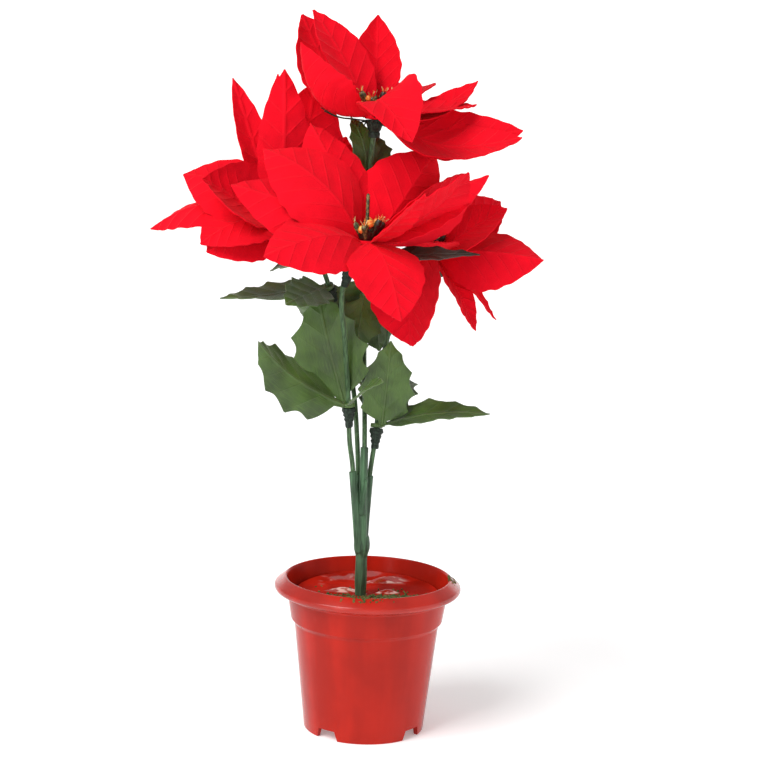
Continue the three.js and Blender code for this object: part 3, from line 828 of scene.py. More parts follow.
def flocked_cloth(name, colour, veins):
    """Flocked cloth with pressed veins: a midrib, and side veins that sweep forward from it, painted a
    little lighter as a painted highlight.
    """
    uniform = {"Roughness": 0.9, "Specular IOR Level": 0.12, "Sheen Weight": 0.12, "Sheen Roughness": 0.4}
    finish, _, along, off_rib = cloth_finish(name, uniform, (1.0, 0.25, 0.25))
    side_vein = ((along - off_rib * PETAL.sweep) * veins).from_whole()
    vein = side_vein.falling(0.0, 0.11) * off_rib.falling(0.12, 0.34)
    rib = off_rib.falling(0.002, 0.016)
    raised = (vein * 0.5 + rib * 0.5).rising(0.0, 0.5)
    place = finish.place()
    mottle = finish.noise(place, 75, 3)
    flock = finish.noise(place, 2600, 2)
    tone = finish.toned(mottle.rising(0.3, 0.7), colour, 0.9, 1.06)
    tone = finish.mixed(flock.rising(0.35, 0.7) * 0.35, tone, shade(colour, 0.8))
    # Painted highlight: the raised veins are painted a little lighter and paler than the cloth.
    finish.paint("Base Color", finish.mixed(raised * 0.3, tone, shade(colour, 1.05, 0.006)))
    finish.relief(raised * 0.2 + flock * 0.05 + mottle * 0.7)
    return finish.material


def satin_cloth(name, colour, vein_colour):
    """Satin leaf cloth: fine streaks along the leaf, a pressed midrib and faint side veins."""
    uniform = {"Specular IOR Level": 0.6, "Sheen Weight": 0.15, "Sheen Roughness": 0.3}
    finish, flat, along, off_rib = cloth_finish(name, uniform, (0.9, 1.0, 0.8))
    side_vein = ((along - off_rib * LEAF.sweep) * LEAF.veins).from_whole()
    vein = side_vein.falling(0.01, 0.05) * off_rib.falling(0.1, 0.3)
    rib = off_rib.falling(0.005, 0.016)
    streaks = finish.noise(finish.stretched(flat, (7, 260, 1)), 1, 3, 0.6)
    mottle = finish.noise(finish.place(), 60, 3)
    tone = finish.toned(mottle.rising(0.3, 0.7), colour, 0.55, 1.25)
    tone = finish.mixed(streaks.rising(0.5, 0.68) * 0.5, tone, shade(colour, 1.9))
    tone = finish.mixed(streaks.falling(0.3, 0.44) * 0.5, tone, shade(colour, 0.4))
    finish.paint("Base Color", finish.mixed(rib * 0.18 + vein * 0.05, tone, shade(vein_colour, 1)))
    finish.paint("Roughness", 0.34 + streaks * 0.2)
    finish.relief(rib * 0.3 + vein * 0.1 + streaks * 0.14 + mottle * 0.4)
    return finish.material


def painted_bud(name, low_colour, high_colour):
    """Moulded buds and berries with a second colour brushed on."""
    finish = Finish(name, {"IOR": 1.48, "Coat Weight": 0.2})
    brushed = finish.noise(finish.place(), 650, 2)
    tone = finish.mixed(brushed.rising(0.42, 0.6), shade(low_colour, 1), shade(high_colour, 1))
    finish.paint("Base Color", tone)
    finish.paint("Roughness", 0.36 + brushed * 0.2)
    return finish.material


# ---------------- settings


def colour_setting(name, description, default):
    return FloatVectorProperty(name=name, description=description, subtype="COLOR", default=default)


class PoinsettiaPotSettings(bpy.types.PropertyGroup):
    colour: colour_setting("Pot Colour", "Brick-red plastic", (0.395, 0.0125, 0.005))
    glue_colour: colour_setting("Glue Colour", "Set glue", (0.4, 0.011, 0.004))
    moss_colour: colour_setting("Moss Colour", "Dyed moss", (0.06, 0.13, 0.025))
    plaster_colour: colour_setting("Plaster Colour", "Plaster ballast", (0.62, 0.58, 0.52))
    steps: IntProperty(name="Steps Round", description="Facets round the pot", default=112, min=24)
    crumbs: IntProperty(name="Crumbs", description="Crumbs of dyed moss on the glue", default=560, min=0)


class PoinsettiaClothSettings(bpy.types.PropertyGroup):
    petal_colour: colour_setting("Petal Colour", "Flocked cloth", (0.76, 0.002, 0.0135))
    leaf_colour: colour_setting("Leaf Colour", "Satin cloth", (0.054, 0.114, 0.013))
    petal_thickness: FloatProperty(
        name="Petal Thickness", description="Thickness of the petal cloth", unit="LENGTH", default=0.6 * MM
    )
    leaf_thickness: FloatProperty(
        name="Leaf Thickness", description="Thickness of the leaf cloth", unit="LENGTH", default=0.45 * MM
    )
    veins: IntProperty(
        name="Side Veins", description="Pairs of side veins on a petal", default=PETAL.veins, min=1
    )
    seed: IntProperty(name="Seed", description="Seed of the small random differences", default=11)


class PoinsettiaStemSettings(bpy.types.PropertyGroup):
    colour: colour_setting("Stem Colour", "Covering of the stems", (0.04, 0.08, 0.033))
    trunk_colour: colour_setting("Trunk Colour", "Moulded trunk", (0.034, 0.074, 0.036))
    holder_colour: colour_setting("Holder Colour", "Holders, collars", (0.012, 0.022, 0.014))


class PoinsettiaStageSettings(bpy.types.PropertyGroup):
    floor_size: FloatProperty(
        name="Floor Size", description="Side of the floor", unit="LENGTH", default=60.0
    )
    glow: FloatProperty(name="Floor Glow", description="How far the floor lightens its shadow", default=0.25)
    sun: FloatProperty(name="Sun", description="Strength of the wide main light", default=2.3)
    strip: FloatProperty(name="Strip", description="Power of the tall light", unit="POWER", default=5.0)
    ambient: FloatProperty(name="Ambient", description="Strength of the light all round", default=0.46)


# ---------------- pot and filling


def pot_body(steps):
    """The pot: a rounded profile spun round, with notches cut through its foot ring."""
    pot = turned("flower_pot", POT_PROFILE, steps, POT_ROUNDING)
    for angle in NOTCH_ANGLES:
        cutter = primitive("notch", bpy.ops.mesh.primitive_cube_add, size=1)
        with editing(cutter):
            bpy.ops.transform.resize(value=[side * MM for side in NOTCH_SIZE])
            choose(cutter, lambda place: place.z > 0)
            bpy.ops.transform.resize(value=(NOTCH_TOP_SHARE, 1, 1))
            bpy.ops.mesh.select_all(action="SELECT")
            middle = Vector((0, -NOTCH_REACH, NOTCH_SIZE[2] / 2 - NOTCH_BELOW)) * MM
            bpy.ops.transform.translate(value=middle)
        cutter.matrix_world = Matrix.Rotation(math.radians(angle), 4, "Z")
        freeze(cutter)
        modify(pot, "BOOLEAN", operation="DIFFERENCE", solver="EXACT", object=cutter)
        discard(cutter)
    return smooth(put(pot, POT_AXIS), 32)


class POINSETTIA_OT_pot(bpy.types.Operator):
    """The plastic pot: tapered body, wider band, rolled rim and notched foot"""

    bl_idname = "poinsettia.pot"
    bl_label = "Pot"

    def execute(self, context):
        settings = context.scene.poinsettia_pot
        pot = dress(pot_body(settings.steps), pot_plastic(settings.colour))
        seat(pot, "pot_plastic", "pot")
        return {"FINISHED"}


class POINSETTIA_OT_plaster(bpy.types.Operator):
    """The plaster ballast under the glue, which keeps its own solid"""

    bl_idname = "poinsettia.plaster"
    bl_label = "Plaster"

    def execute(self, context):
        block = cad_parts["plaster_block"]
        dress(block, plaster_cast(context.scene.poinsettia_pot.plaster_colour))
        return {"FINISHED"}


def glue_rise(x, y):
    """How much of its rise at the back the glue has at a place from the pot's axis, from 0 to 1."""
    back = max(0.0, y / (GLUE_RADIUS * MM))
    edge = math.hypot(x, y) / (GLUE_RADIUS * MM)
    return back * edge**5


def glue_fold(x, y):
    """How much of a fold's height the glue has at a place from the pot's axis, from 0 to 1."""
    share = 0
    for middle, angle, long, wide in GLUE_FOLDS:
        offset = Matrix.Rotation(math.radians(-angle), 2) @ (Vector((x, y)) / MM - Vector(middle))
        share = max(share, math.exp(-((offset.x / long) ** 2) - (offset.y / wide) ** 2))
    return share


def glue_pad():
    """The glue: a disc inset ring by ring, raised in folds and at the back, and lumped by clouds."""
    disc = {"vertices": 96, "radius": GLUE_RADIUS * MM, "fill_type": "NGON"}
    top = (0, 0, GLUE_TOP * MM)
    pad = freeze(primitive("glue_top", bpy.ops.mesh.primitive_circle_add, location=top, **disc))
    with editing(pad):
        for _ in range(GLUE_RINGS):
            bpy.ops.mesh.inset(thickness=GLUE_RADIUS * MM / (GLUE_RINGS + 1))
        bpy.ops.mesh.poke()
    for name, weight, height in (("rise", glue_rise, GLUE_BACK_RISE), ("fold", glue_fold, GLUE_FOLD_HIGH)):
        group = pad.vertex_groups.new(name=name)
        for vertex in pad.data.vertices:
            group.add([vertex.index], weight(vertex.co.x, vertex.co.y), "REPLACE")
        lift(pad, height * MM, name)
    for name, size, height in GLUE_LUMPS:
        roughen(pad, height, clouds(name, size, 1), direction="Z")
    with editing(pad):
        choose(pad, lambda place: place.xy.length > (GLUE_RADIUS - 0.05) * MM)
        bpy.ops.mesh.extrude_region_move(TRANSFORM_OT_translate={"value": (0, 0, -1 * MM)})
        bpy.ops.transform.resize(value=(1, 1, 0), center_override=(0, 0, GLUE_FOOT * MM))
        bpy.ops.mesh.edge_face_add()
        bpy.ops.mesh.select_all(action="SELECT")
        bpy.ops.mesh.normals_make_consistent(inside=False)
    return smooth(put(pad, POT_AXIS), 60)


class POINSETTIA_OT_glue(bpy.types.Operator):
    """Set glue round the trunk, glossy and lumpy"""

    bl_idname = "poinsettia.glue"
    bl_label = "Glue"

    def execute(self, context):
        pad = dress(glue_pad(), set_glue(context.scene.poinsettia_pot.glue_colour))
        seat(pad, "glue", "glue_fill")
        return {"FINISHED"}


def rim_crumb(in_front, draw):
    """A place for a crumb on the rim's sloping top."""
    angle = math.radians(draw.gauss(*RIM_CRUMB_ANGLES[in_front]))
    radius = draw.uniform(*RIM_CRUMB_BAND)
    fall = max(0.0, radius - RIM_CREST) * RIM_SLOPE
    return round_about(angle) * radius * MM + UP * (POT_HIGH.z - fall * MM)


def crumb_places(count, draw):
    """Places for crumbs: a drift across the glue, thickest right of the trunk, and some on the rim."""
    for index in range(count):
        if index % 7 == 0:
            yield rim_crumb(index % 3 > 0, draw)
            continue
        across = draw.gauss(*DRIFT_ACROSS) if index % 6 else draw.uniform(*SCATTER_ACROSS)
        deep = draw.gauss(*DRIFT_DEEP) if index % 5 else draw.uniform(*SCATTER_DEEP)
        spot = Vector((across, deep, 0)) * MM
        if spot.length < (GLUE_RADIUS - 2) * MM:
            level = GLUE_TOP + GLUE_BACK_RISE * glue_rise(spot.x, spot.y) + CRUMB_LIFT
            yield spot + UP * level * MM


class POINSETTIA_OT_moss(bpy.types.Operator):
    """Crumbs of dyed moss stuck in the glue"""

    bl_idname = "poinsettia.moss"
    bl_label = "Moss"

    def execute(self, context):
        settings = context.scene.poinsettia_pot
        draw = random.Random(context.scene.poinsettia_cloth.seed)
        ball = {"subdivisions": 2, "radius": CRUMB_RADIUS * MM}
        model = freeze(primitive("crumb", bpy.ops.mesh.primitive_ico_sphere_add, **ball))
        roughen(model, 0.9, clouds("crumb", 0.6))
        crumbs = []
        for spot in crumb_places(settings.crumbs, draw):
            turn = Quaternion([draw.random() for _ in range(4)]).normalized()
            size = [draw.uniform(*CRUMB_SIZES) for _ in range(3)]
            place = Matrix.Translation(POT_AXIS + spot) @ turn.to_matrix().to_4x4()
            crumbs.append(another(model, place @ Matrix.Diagonal((*size, 1))))
        discard(model)
        moss = dress(joined(crumbs, "moss_crumbs"), dyed_moss(settings.moss_colour))
        seat(smooth(moss, 180), "glue")
        return {"FINISHED"}


# ---------------- trunk and stems


def trunk_body():
    """The trunk: foot, collar, sleeves and a cut side shoot, melted into one moulding."""
    rods = [put(turned("foot", TRUNK_PROFILE, 32), at(*TRUNK_AXIS))]
    for sleeve in SLEEVES:
        rods.append(tube("sleeve", route(sleeve), SLEEVE_RADIUS, taper=SLEEVE_TAPER))
    rods.append(tube("shoot", route(CUT_SHOOT), SHOOT_RADIUS, taper=SHOOT_TAPER))
    trunk = joined(rods, "moulded_trunk")
    modify(trunk, "REMESH", mode="VOXEL", voxel_size=TRUNK_VOXEL * MM)
    modify(trunk, "SMOOTH", factor=0.5, iterations=4)
    return smooth(trunk, 50)


class POINSETTIA_OT_trunk(bpy.types.Operator):
    """The moulded trunk with its sleeves"""

    bl_idname = "poinsettia.trunk"
    bl_label = "Trunk"

    def execute(self, context):
        material = stem_plastic("trunk plastic", context.scene.poinsettia_stem.trunk_colour, *TRUNK_RIBS)
        seat(dress(trunk_body(), material), "stem_plastic", "trunk")
        return {"FINISHED"}


class POINSETTIA_OT_stems(bpy.types.Operator):
    """The plastic-covered wire stems, one for each bloom"""

    bl_idname = "poinsettia.stems"
    bl_label = "Stems"

    def execute(self, context):
        material = stem_plastic("stem plastic", context.scene.poinsettia_stem.colour, *STEM_RIBS)
        for name, points in STEMS.items():
            stem = freeze(tube(f"wire_stem_{name}", route(points), STEM_RADIUS, sides=6))
            seat(dress(smooth(stem, 40), material), "stem_plastic", f"stem_{name}")
        return {"FINISHED"}


# ---------------- blades: petals and leaves


def blade_sheet(name, outline, grid):
    """A flat blade of unit length and unit half width, pulled in row by row to its outline.

    Its vertex groups hold the fold of its halves, its pressed veins, and its freedom to wave.
    """
    rows, columns = grid
    settings = {"x_subdivisions": rows, "y_subdivisions": columns, "size": 2, "calc_uvs": True}
    blade = primitive(name, bpy.ops.mesh.primitive_grid_add, **settings)
    with editing(blade):
        bpy.ops.transform.translate(value=(1, 0, 0))
        bpy.ops.transform.resize(value=(0.5, 1, 1), center_override=(0, 0, 0))
    steps = [vertex.co.copy() for vertex in blade.data.vertices]
    with editing(blade):
        for row in range(rows + 1):
            u = row / rows
            choose(blade, lambda place, u=u: abs(place.x - u) < 0.2 / rows)
            bpy.ops.transform.resize(value=(1, outline(u), 1), center_override=(0, 0, 0))
    groups = {key: blade.vertex_groups.new(name=key) for key in ("fold", "vein", "free")}
    for index, step in enumerate(steps):
        u, v = step.x, abs(step.y)
        groups["fold"].add([index], outline(u) * v**1.4, "REPLACE")
        groups["vein"].add([index], 0, "REPLACE")
        groups["free"].add([index], min(1.0, u * 2) * (0.25 + 0.75 * v**2), "REPLACE")
    blade.data.uv_layers[0].name = "cloth"
    return blade


def blade_matrix(centre, tip, roll, ring):
    """The matrix that lays a blade out from where it starts, and how long its chord is."""
    outward = Vector((tip[0], tip[1], 0)).normalized()
    root = centre + outward * ring * MM
    chord = centre + Vector(tip) * MM - root
    along = chord.normalized()
    face = (UP - along * along.z).normalized()
    face.rotate(Quaternion(along, math.radians(roll)))
    side = face.cross(along)
    matrix = Matrix((along, side, face)).transposed().to_4x4()
    matrix.translation = root
    return matrix, chord.length


def blade_arc(length, arch, bow):
    """The arc's start and end, and the point above the chord that it is pulled towards."""
    return Vector((0, 0, 0)), Vector((length, 0, 0)), Vector((length * bow, 0, 2 * arch * MM))


def spine_curve():
    """A reusable curve of one arc, along which blades are bent."""
    curve = bpy.data.curves.new("spine", "CURVE")
    curve.dimensions = "3D"
    curve.twist_mode = "Z_UP"
    curve.resolution_u = 32
    curve.use_stretch = True
    curve.use_deform_bounds = True
    spline = curve.splines.new("BEZIER")
    spline.bezier_points.add(1)
    for knot in spline.bezier_points:
        knot.handle_left_type = knot.handle_right_type = "FREE"
    spine = bpy.data.objects.new("spine", curve)
    bpy.context.scene.collection.objects.link(spine)
    return spine


def bend_spine(spine, arc):
    """Sets the curve to an arc."""
    start, end, pull = arc
    first, last = spine.data.splines[0].bezier_points
    first.co, last.co = start, end
    first.handle_right = start.lerp(pull, 2 / 3)
    first.handle_left = start - (first.handle_right - start)
    last.handle_left = end.lerp(pull, 2 / 3)
    last.handle_right = end - (last.handle_left - end)


def mark_veins(cloth, length, kind):
    """Weighs the flat blade's vertices by how near they lie to its midrib and side veins."""
    group = cloth.vertex_groups["vein"]
    for vertex in cloth.data.vertices:
        u, off_rib = vertex.co.x / length, abs(vertex.co.y) / length
        place = (u - off_rib * kind.sweep) * kind.veins
        gap = abs(place - round(place))
        pillow = math.cos(math.pi * gap) ** 2
        ridge = max(0.0, 1 - gap / 0.18)
        rib = max(0.0, 1 - off_rib / 0.022)
        fade = max(0.0, 1 - (off_rib / 0.3) ** 2)
        group.add([vertex.index], max((0.4 * pillow + 0.6 * ridge) * fade, rib), "REPLACE")


def lay_blade(sheet, spine, centre, blade, kind, thickness):
    """One petal or leaf: the flat sheet cut to size, folded, veined, bent, placed and thickened."""
    tip, width, arch, cup, roll, *lean = blade
    matrix, length = blade_matrix(centre, tip, roll, kind.ring)
    cloth = another(sheet)
    cloth.scale = (length, width / 2 * MM * (1 - 0.08 * abs(cup)), 1)
    freeze(cloth)
    if lean:
        with editing(cloth):
            choose(cloth, lambda place: place.y * lean[0] < 0)
            bpy.ops.transform.resize(value=(1, 1 - abs(lean[0]), 1), center_override=(0, 0, 0))
    flat = cloth.data.uv_layers["cloth"].data
    for loop in cloth.data.loops:
        place = cloth.data.vertices[loop.vertex_index].co
        flat[loop.index].uv = (place.x / length, 0.5 + place.y / length)
    mark_veins(cloth, length, kind)
    bend_spine(spine, blade_arc(length, arch, kind.bow))
    lift(cloth, cup * width / 2 * MM, "fold")
    lift(cloth, kind.relief * MM, "vein")
    modify(cloth, "CURVE", object=spine, deform_axis="POS_X")
    cloth.matrix_world = matrix
    freeze(cloth)
    for name, size, height in kind.waves:
        roughen(cloth, height, clouds(name, size, 1), vertex_group="free")
    return modify(cloth, "SOLIDIFY", thickness=thickness, offset=0, material_offset=1)


def cloth_hub(name, profile, steps, rounding, matrix):
    """The small moulding that the blades of a bloom or a whorl are fused with, in their finish."""
    hub = turned(name, profile, steps, rounding)
    hub.data.uv_layers.new(name="cloth")
    hub.matrix_world = matrix
    return freeze(hub)


class POINSETTIA_OT_blooms(bpy.types.Operator):
    """The blooms: petals of flocked cloth on a small disc"""

    bl_idname = "poinsettia.blooms"
    bl_label = "Blooms"

    def execute(self, context):
        settings = context.scene.poinsettia_cloth
        kind = PETAL._replace(veins=settings.veins)
        upper = flocked_cloth("petal cloth", settings.petal_colour, kind.veins)
        under_colour = shade(settings.petal_colour, PETAL_UNDERSIDE_SHADE)
        under = flocked_cloth("petal cloth underside", under_colour, kind.veins)
        sheet = blade_sheet("petal", scalloped_half(kind.veins), kind.grid)
        spine = spine_curve()
        for name, bloom in BLOOMS.items():
            centre = at(*bloom["centre"])
            thickness = settings.petal_thickness
            pieces = [lay_blade(sheet, spine, centre, petal, kind, thickness) for petal in bloom["petals"]]
            pieces.append(cloth_hub("disc", DISC_PROFILE, 32, 0.8, Matrix.Translation(centre)))
            for piece in pieces:
                dress(piece, upper, under)
            whole = smooth(joined(pieces, f"bloom_{name}"), 50)
            seat(whole, "petal_fabric", f"petals_{name}")
        discard(sheet, spine)
        return {"FINISHED"}


class POINSETTIA_OT_leaves(bpy.types.Operator):
    """The whorls of toothed satin leaves"""

    bl_idname = "poinsettia.leaves"
    bl_label = "Leaves"

    def execute(self, context):
        settings = context.scene.poinsettia_cloth
        upper = satin_cloth("leaf cloth", settings.leaf_colour, LEAF_VEIN)
        under = satin_cloth("leaf cloth underside", *UNDERSIDE)
        # A near-black cloth of painted shade, for the leaves that lie in shadow.
        dark = satin_cloth("shaded leaf cloth", *SHADED_LEAF_CLOTH)
        sheet = blade_sheet("leaf", leaf_half, LEAF.grid)
        spine = spine_curve()
        for name, whorl in WHORLS.items():
            centre, along = stem_point(whorl)
            thickness = settings.leaf_thickness
            pieces = [lay_blade(sheet, spine, centre, leaf, LEAF, thickness) for leaf in whorl["leaves"]]
            pieces.append(cloth_hub("ring", RING_PROFILE, 28, 0.4, facing(centre, along)))
            for number, piece in enumerate(pieces):
                # Leaves that lie in shadow take the near-black cloth: painted shade.
                in_shadow = (name, number) in SHADED_LEAVES
                dress(piece, dark if in_shadow else upper, dark if in_shadow else under)
            whole = smooth(joined(pieces, f"leaf_whorl_{name}"), 50)
            seat(whole, "leaf_fabric", f"leaves_{name}")
        discard(sheet, spine)
        return {"FINISHED"}


# ---------------- hearts, holders and collars


def bristle_model():
    """A stiff hair that tops a bud: a slim cone."""
    low, high = BRISTLE_RADII
    cone = {"vertices": 6, "radius1": low * MM, "radius2": high * MM, "depth": BRISTLE_LONG * MM}
    middle = (0, 0, BRISTLE_LONG / 2 * MM)
    return freeze(primitive("bristle", bpy.ops.mesh.primitive_cone_add, location=middle, **cone))


def berry_model():
    """A berry: a ball with a few soft dents."""
    ball = {"subdivisions": 3, "radius": BERRY_RADIUS * MM}
    berry = freeze(primitive("berry", bpy.ops.mesh.primitive_ico_sphere_add, **ball))
    return roughen(berry, 0.5, clouds("berry", 1.6))


def pistil_body(height):
    """The upright pistil: a slim column with beaded ribs."""
    beads = int(height / BEAD_LONG)
    profile = [(0, PISTIL_FOOT)]
    for bead in range(beads):
        base = PISTIL_FOOT + bead * (height - 3) / beads
        profile += [(0.82, base), (1.06, base + 0.4)]
    profile += [(0.7, height - 0.6), (0, height)]
    return turned("pistil", profile, 14)


def heart_body(bloom, models, finishes, draw):
    """Leaning buds with bristles, berries between them and a pistil, in a dark cup."""
    bud, bristle, berry = models
    dark, olive, orange, red, straw = finishes
    centre = at(*bloom["centre"])
    cup = put(turned("cup", CUP_PROFILE, 24), centre)
    pistil = put(pistil_body(bloom["pistil"]), centre)
    pieces = [dress(cup, dark), dress(pistil, olive)]
    foot_out, foot_up = BUD_FOOT
    for index in range(BUD_COUNT):
        angle = 2 * math.pi * (index + draw.uniform(-0.15, 0.15)) / BUD_COUNT
        lean = round_about(angle) * draw.uniform(*BUD_LEANS)
        direction = (UP + lean).normalized()
        foot = centre + lean * foot_out * MM + UP * foot_up * MM
        tall = draw.uniform(*BUD_STRETCH)
        place = facing(foot, direction) @ Matrix.Diagonal((1, 1, tall, 1))
        pieces.append(dress(another(bud, place), olive if index % 3 else dark))
        crown = foot + direction * BUD_CROWN * tall * MM
        for hair in range(BRISTLE_COUNT):
            spread = 2 * math.pi * hair / BRISTLE_COUNT + draw.random()
            tilt = direction + round_about(spread) * BRISTLE_SPREAD
            colour = (straw, orange, red)[hair % 3]
            pieces.append(dress(another(bristle, facing(crown, tilt.normalized())), colour))
        reach = draw.uniform(*BERRY_REACH)
        beside = round_about(angle + math.pi / BUD_COUNT) * reach
        spot = centre + (beside + UP * draw.uniform(*BERRY_HEIGHTS)) * MM
        size = Matrix.Scale(draw.uniform(*BERRY_SIZES), 4)
        pieces.append(dress(another(berry, Matrix.Translation(spot) @ size), orange))
    return pieces


class POINSETTIA_OT_hearts(bpy.types.Operator):
    """The hearts of the blooms: buds, berries and a pistil"""

    bl_idname = "poinsettia.hearts"
    bl_label = "Hearts"

    def execute(self, context):
        draw = random.Random(context.scene.poinsettia_cloth.seed)
        models = (turned("bud", BUD_PROFILE, 12), bristle_model(), berry_model())
        finishes = [painted_bud(*paints) for paints in HEART_PAINTS]
        for name, bloom in BLOOMS.items():
            whole = joined(heart_body(bloom, models, finishes, draw), f"heart_buds_{name}")
            seat(smooth(whole, 60), "heart_plastic", f"heart_{name}")
        discard(*models)
        return {"FINISHED"}


def under_petal(centre, petal, share, aside):
    """A point under a petal's spine: a share of the way along it, and to one side."""
    tip, _, arch, _, roll, *_ = petal
    matrix, length = blade_matrix(centre, tip, roll, PETAL.ring)
    start, end, pull = blade_arc(length, arch, PETAL.bow)
    place = start.lerp(pull, share).lerp(pull.lerp(end, share), share)
    return matrix @ (place + Vector((0, aside, -SPOKE_DROP)) * MM)


def spoke(centre, hub, petal, aside):
    """A thin rod from the hub, along the underside of a petal."""
    near, middle, far = SPOKE_SHARES
    shares = (near, middle, far - 0.05 * abs(aside))
    places = [under_petal(centre, petal, share, aside * (1 + share)) for share in shares]
    return tube("spoke", [hub, *places], SPOKE_RADIUS, 2, SPOKE_TAPER)


def prong(hub, index):
    """One of the short prongs that fringe the hub, each a little lower or higher than the last."""
    out = round_about(2 * math.pi * index / PRONG_COUNT)
    places = [hub + out * reach * MM for reach in PRONG_REACH]
    places[-1] -= UP * (PRONG_DROP + index % 3) * MM
    return tube("prong", places, PRONG_RADIUS, 2, PRONG_TAPER)


def holder_pieces(bloom):
    """The holder's cup, its fringe of prongs and the spokes under the petals."""
    centre = at(*bloom["centre"])
    hub = centre - UP * HUB_DROP * MM
    pieces = [put(turned("cup", HOLDER_PROFILE, 28), centre)]
    pieces += [prong(hub, index) for index in range(PRONG_COUNT)]
    for index in bloom["spokes"]:
        pieces += [spoke(centre, hub, bloom["petals"][index], aside) for aside in SPOKE_ASIDE]
    return pieces


class POINSETTIA_OT_holders(bpy.types.Operator):
    """The dark holders under the blooms"""

    bl_idname = "poinsettia.holders"
    bl_label = "Holders"

    def execute(self, context):
        material = dark_plastic(context.scene.poinsettia_stem.holder_colour)
        for name, bloom in BLOOMS.items():
            whole = smooth(joined(holder_pieces(bloom), f"bloom_holder_{name}"), 50)
            seat(dress(whole, material), "holder_plastic", f"holder_{name}")
        return {"FINISHED"}


class POINSETTIA_OT_collars(bpy.types.Operator):
    """The knobbed collars that carry the whorls of leaves"""

    bl_idname = "poinsettia.collars"
    bl_label = "Collars"

    def execute(self, context):
        material = dark_plastic(context.scene.poinsettia_stem.holder_colour)
        model = roughen(turned("collar", COLLAR_PROFILE, 24), 0.9, clouds("knobs", 2.4))
        for name, whorl in WHORLS.items():
            collar = another(model, facing(*stem_point(whorl)))
            collar.name = f"leaf_collar_{name}"
            seat(dress(smooth(collar, 50), material), "holder_plastic", f"collar_{name}")
        discard(model)
        return {"FINISHED"}


# ---------------- stage

CAMERA_PLACE = (0, -1100, 378)
CAMERA_PITCH = math.radians(9.69)
CAMERA_YAW = math.radians(0.16)
CAMERA_ROLL = math.radians(1.85)
CAMERA_LENS = 100.1

# Lights, in metres from the point that they look at.
AIM_HEIGHT = 0.2
SUN_FROM = (-1.3, -1.2, 2.0)
SUN_WIDTH = math.radians(34)
STRIP_FROM = (-0.8, -1.25, 0.25)
STRIP_SIZE = (0.22, 1.6)
FLOOR_WHITE = (0.94, 0.94, 0.94, 1)


def camera_turn():
    """The camera's axes: it looks along +Y and down, and is rolled a little."""
    yaw = Matrix.Rotation(-CAMERA_YAW, 4, "Z")
    pitch = Matrix.Rotation(math.pi / 2 - CAMERA_PITCH, 4, "X")
    return yaw @ pitch @ Matrix.Rotation(CAMERA_ROLL, 4, "Z")


def add_light(name, kind, place, energy, **settings):
    """A light that looks from a place, given from the plant's middle, at the plant's middle."""
    aim = POT_AXIS + UP * AIM_HEIGHT
    bpy.ops.object.select_all(action="DESELECT")
    bpy.ops.object.light_add(type=kind, location=aim + Vector(place))
    light = bpy.context.object
    light.name = name
    light.data.energy = energy
    for key, value in settings.items():
        setattr(light.data, key, value)
    light.rotation_euler = (-Vector(place)).to_track_quat("-Z", "Y").to_euler()


def add_floor(size, glow):
    """A pale floor that glows a little, with its far edges raised."""
    floor = primitive("floor", bpy.ops.mesh.primitive_plane_add, size=size)
    with editing(floor):
        bpy.ops.mesh.inset(thickness=size / 12)
        choose(floor, lambda place: max(abs(place.x), abs(place.y)) > size * 0.45)
        bpy.ops.transform.translate(value=(0, 0, size / 6))
    uniform = {"Base Color": FLOOR_WHITE, "Roughness": 0.9, "Emission Color": (1, 1, 1, 1)}
    dress(floor, Finish("floor", {**uniform, "Emission Strength": glow}).material)


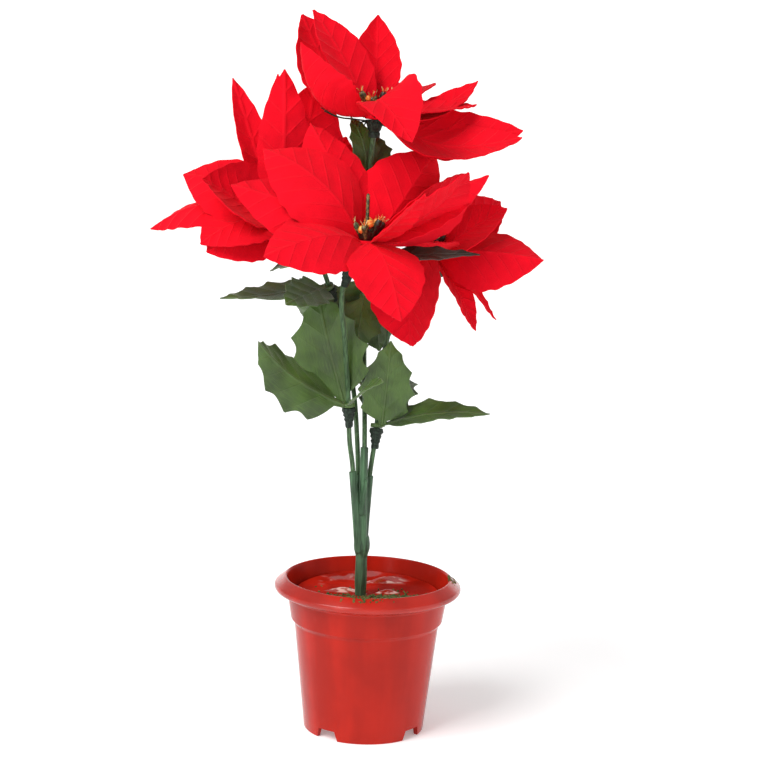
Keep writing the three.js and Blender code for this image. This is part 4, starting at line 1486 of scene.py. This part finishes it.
class POINSETTIA_OT_stage(bpy.types.Operator):
    """A pale floor, soft studio light and the camera"""

    bl_idname = "poinsettia.stage"
    bl_label = "Stage"

    def execute(self, context):
        settings = context.scene.poinsettia_stage
        add_floor(settings.floor_size, settings.glow)

        world = bpy.data.worlds.new("studio")
        world.use_nodes = True
        background = world.node_tree.nodes["Background"]
        background.inputs["Color"].default_value = (1, 1, 1, 1)
        background.inputs["Strength"].default_value = settings.ambient
        context.scene.world = world

        wide, tall = STRIP_SIZE
        add_light("sun", "SUN", SUN_FROM, settings.sun, angle=SUN_WIDTH)
        add_light("strip", "AREA", STRIP_FROM, settings.strip, shape="RECTANGLE", size=wide, size_y=tall)

        bpy.ops.object.camera_add()
        camera = context.object
        camera.name = "camera"
        camera.data.lens = CAMERA_LENS
        camera.data.clip_start = 0.05
        camera.matrix_world = Matrix.Translation(at(*CAMERA_PLACE)) @ camera_turn()
        context.scene.camera = camera
        context.scene.view_settings.view_transform = "Standard"
        return {"FINISHED"}


# ---------------- panel and registration


class POINSETTIA_PT_panel(bpy.types.Panel):
    """Lists the pieces of the plant"""

    bl_idname = "POINSETTIA_PT_panel"
    bl_label = "Poinsettia"
    bl_space_type = "VIEW_3D"
    bl_region_type = "UI"
    bl_category = "Poinsettia"

    def draw(self, context):
        for piece in PIECES:
            self.layout.operator(piece.bl_idname)


PIECES = (
    POINSETTIA_OT_stage,
    POINSETTIA_OT_pot,
    POINSETTIA_OT_plaster,
    POINSETTIA_OT_glue,
    POINSETTIA_OT_moss,
    POINSETTIA_OT_trunk,
    POINSETTIA_OT_stems,
    POINSETTIA_OT_blooms,
    POINSETTIA_OT_hearts,
    POINSETTIA_OT_holders,
    POINSETTIA_OT_leaves,
    POINSETTIA_OT_collars,
)
SETTINGS = {
    "poinsettia_pot": PoinsettiaPotSettings,
    "poinsettia_cloth": PoinsettiaClothSettings,
    "poinsettia_stem": PoinsettiaStemSettings,
    "poinsettia_stage": PoinsettiaStageSettings,
}


def register():
    for name, group in SETTINGS.items():
        bpy.utils.register_class(group)
        setattr(bpy.types.Scene, name, PointerProperty(type=group))
    for piece in (*PIECES, POINSETTIA_PT_panel):
        bpy.utils.register_class(piece)


def unregister():
    for piece in (POINSETTIA_PT_panel, *reversed(PIECES)):
        bpy.utils.unregister_class(piece)
    for name, group in SETTINGS.items():
        delattr(bpy.types.Scene, name)
        bpy.utils.unregister_class(group)


def main():
    """Builds the plant round the frame."""
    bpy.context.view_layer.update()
    register()
    for piece in PIECES:
        group, operator = piece.bl_idname.split(".")
        getattr(getattr(bpy.ops, group), operator)()


if __name__ == "__main__":
    main()
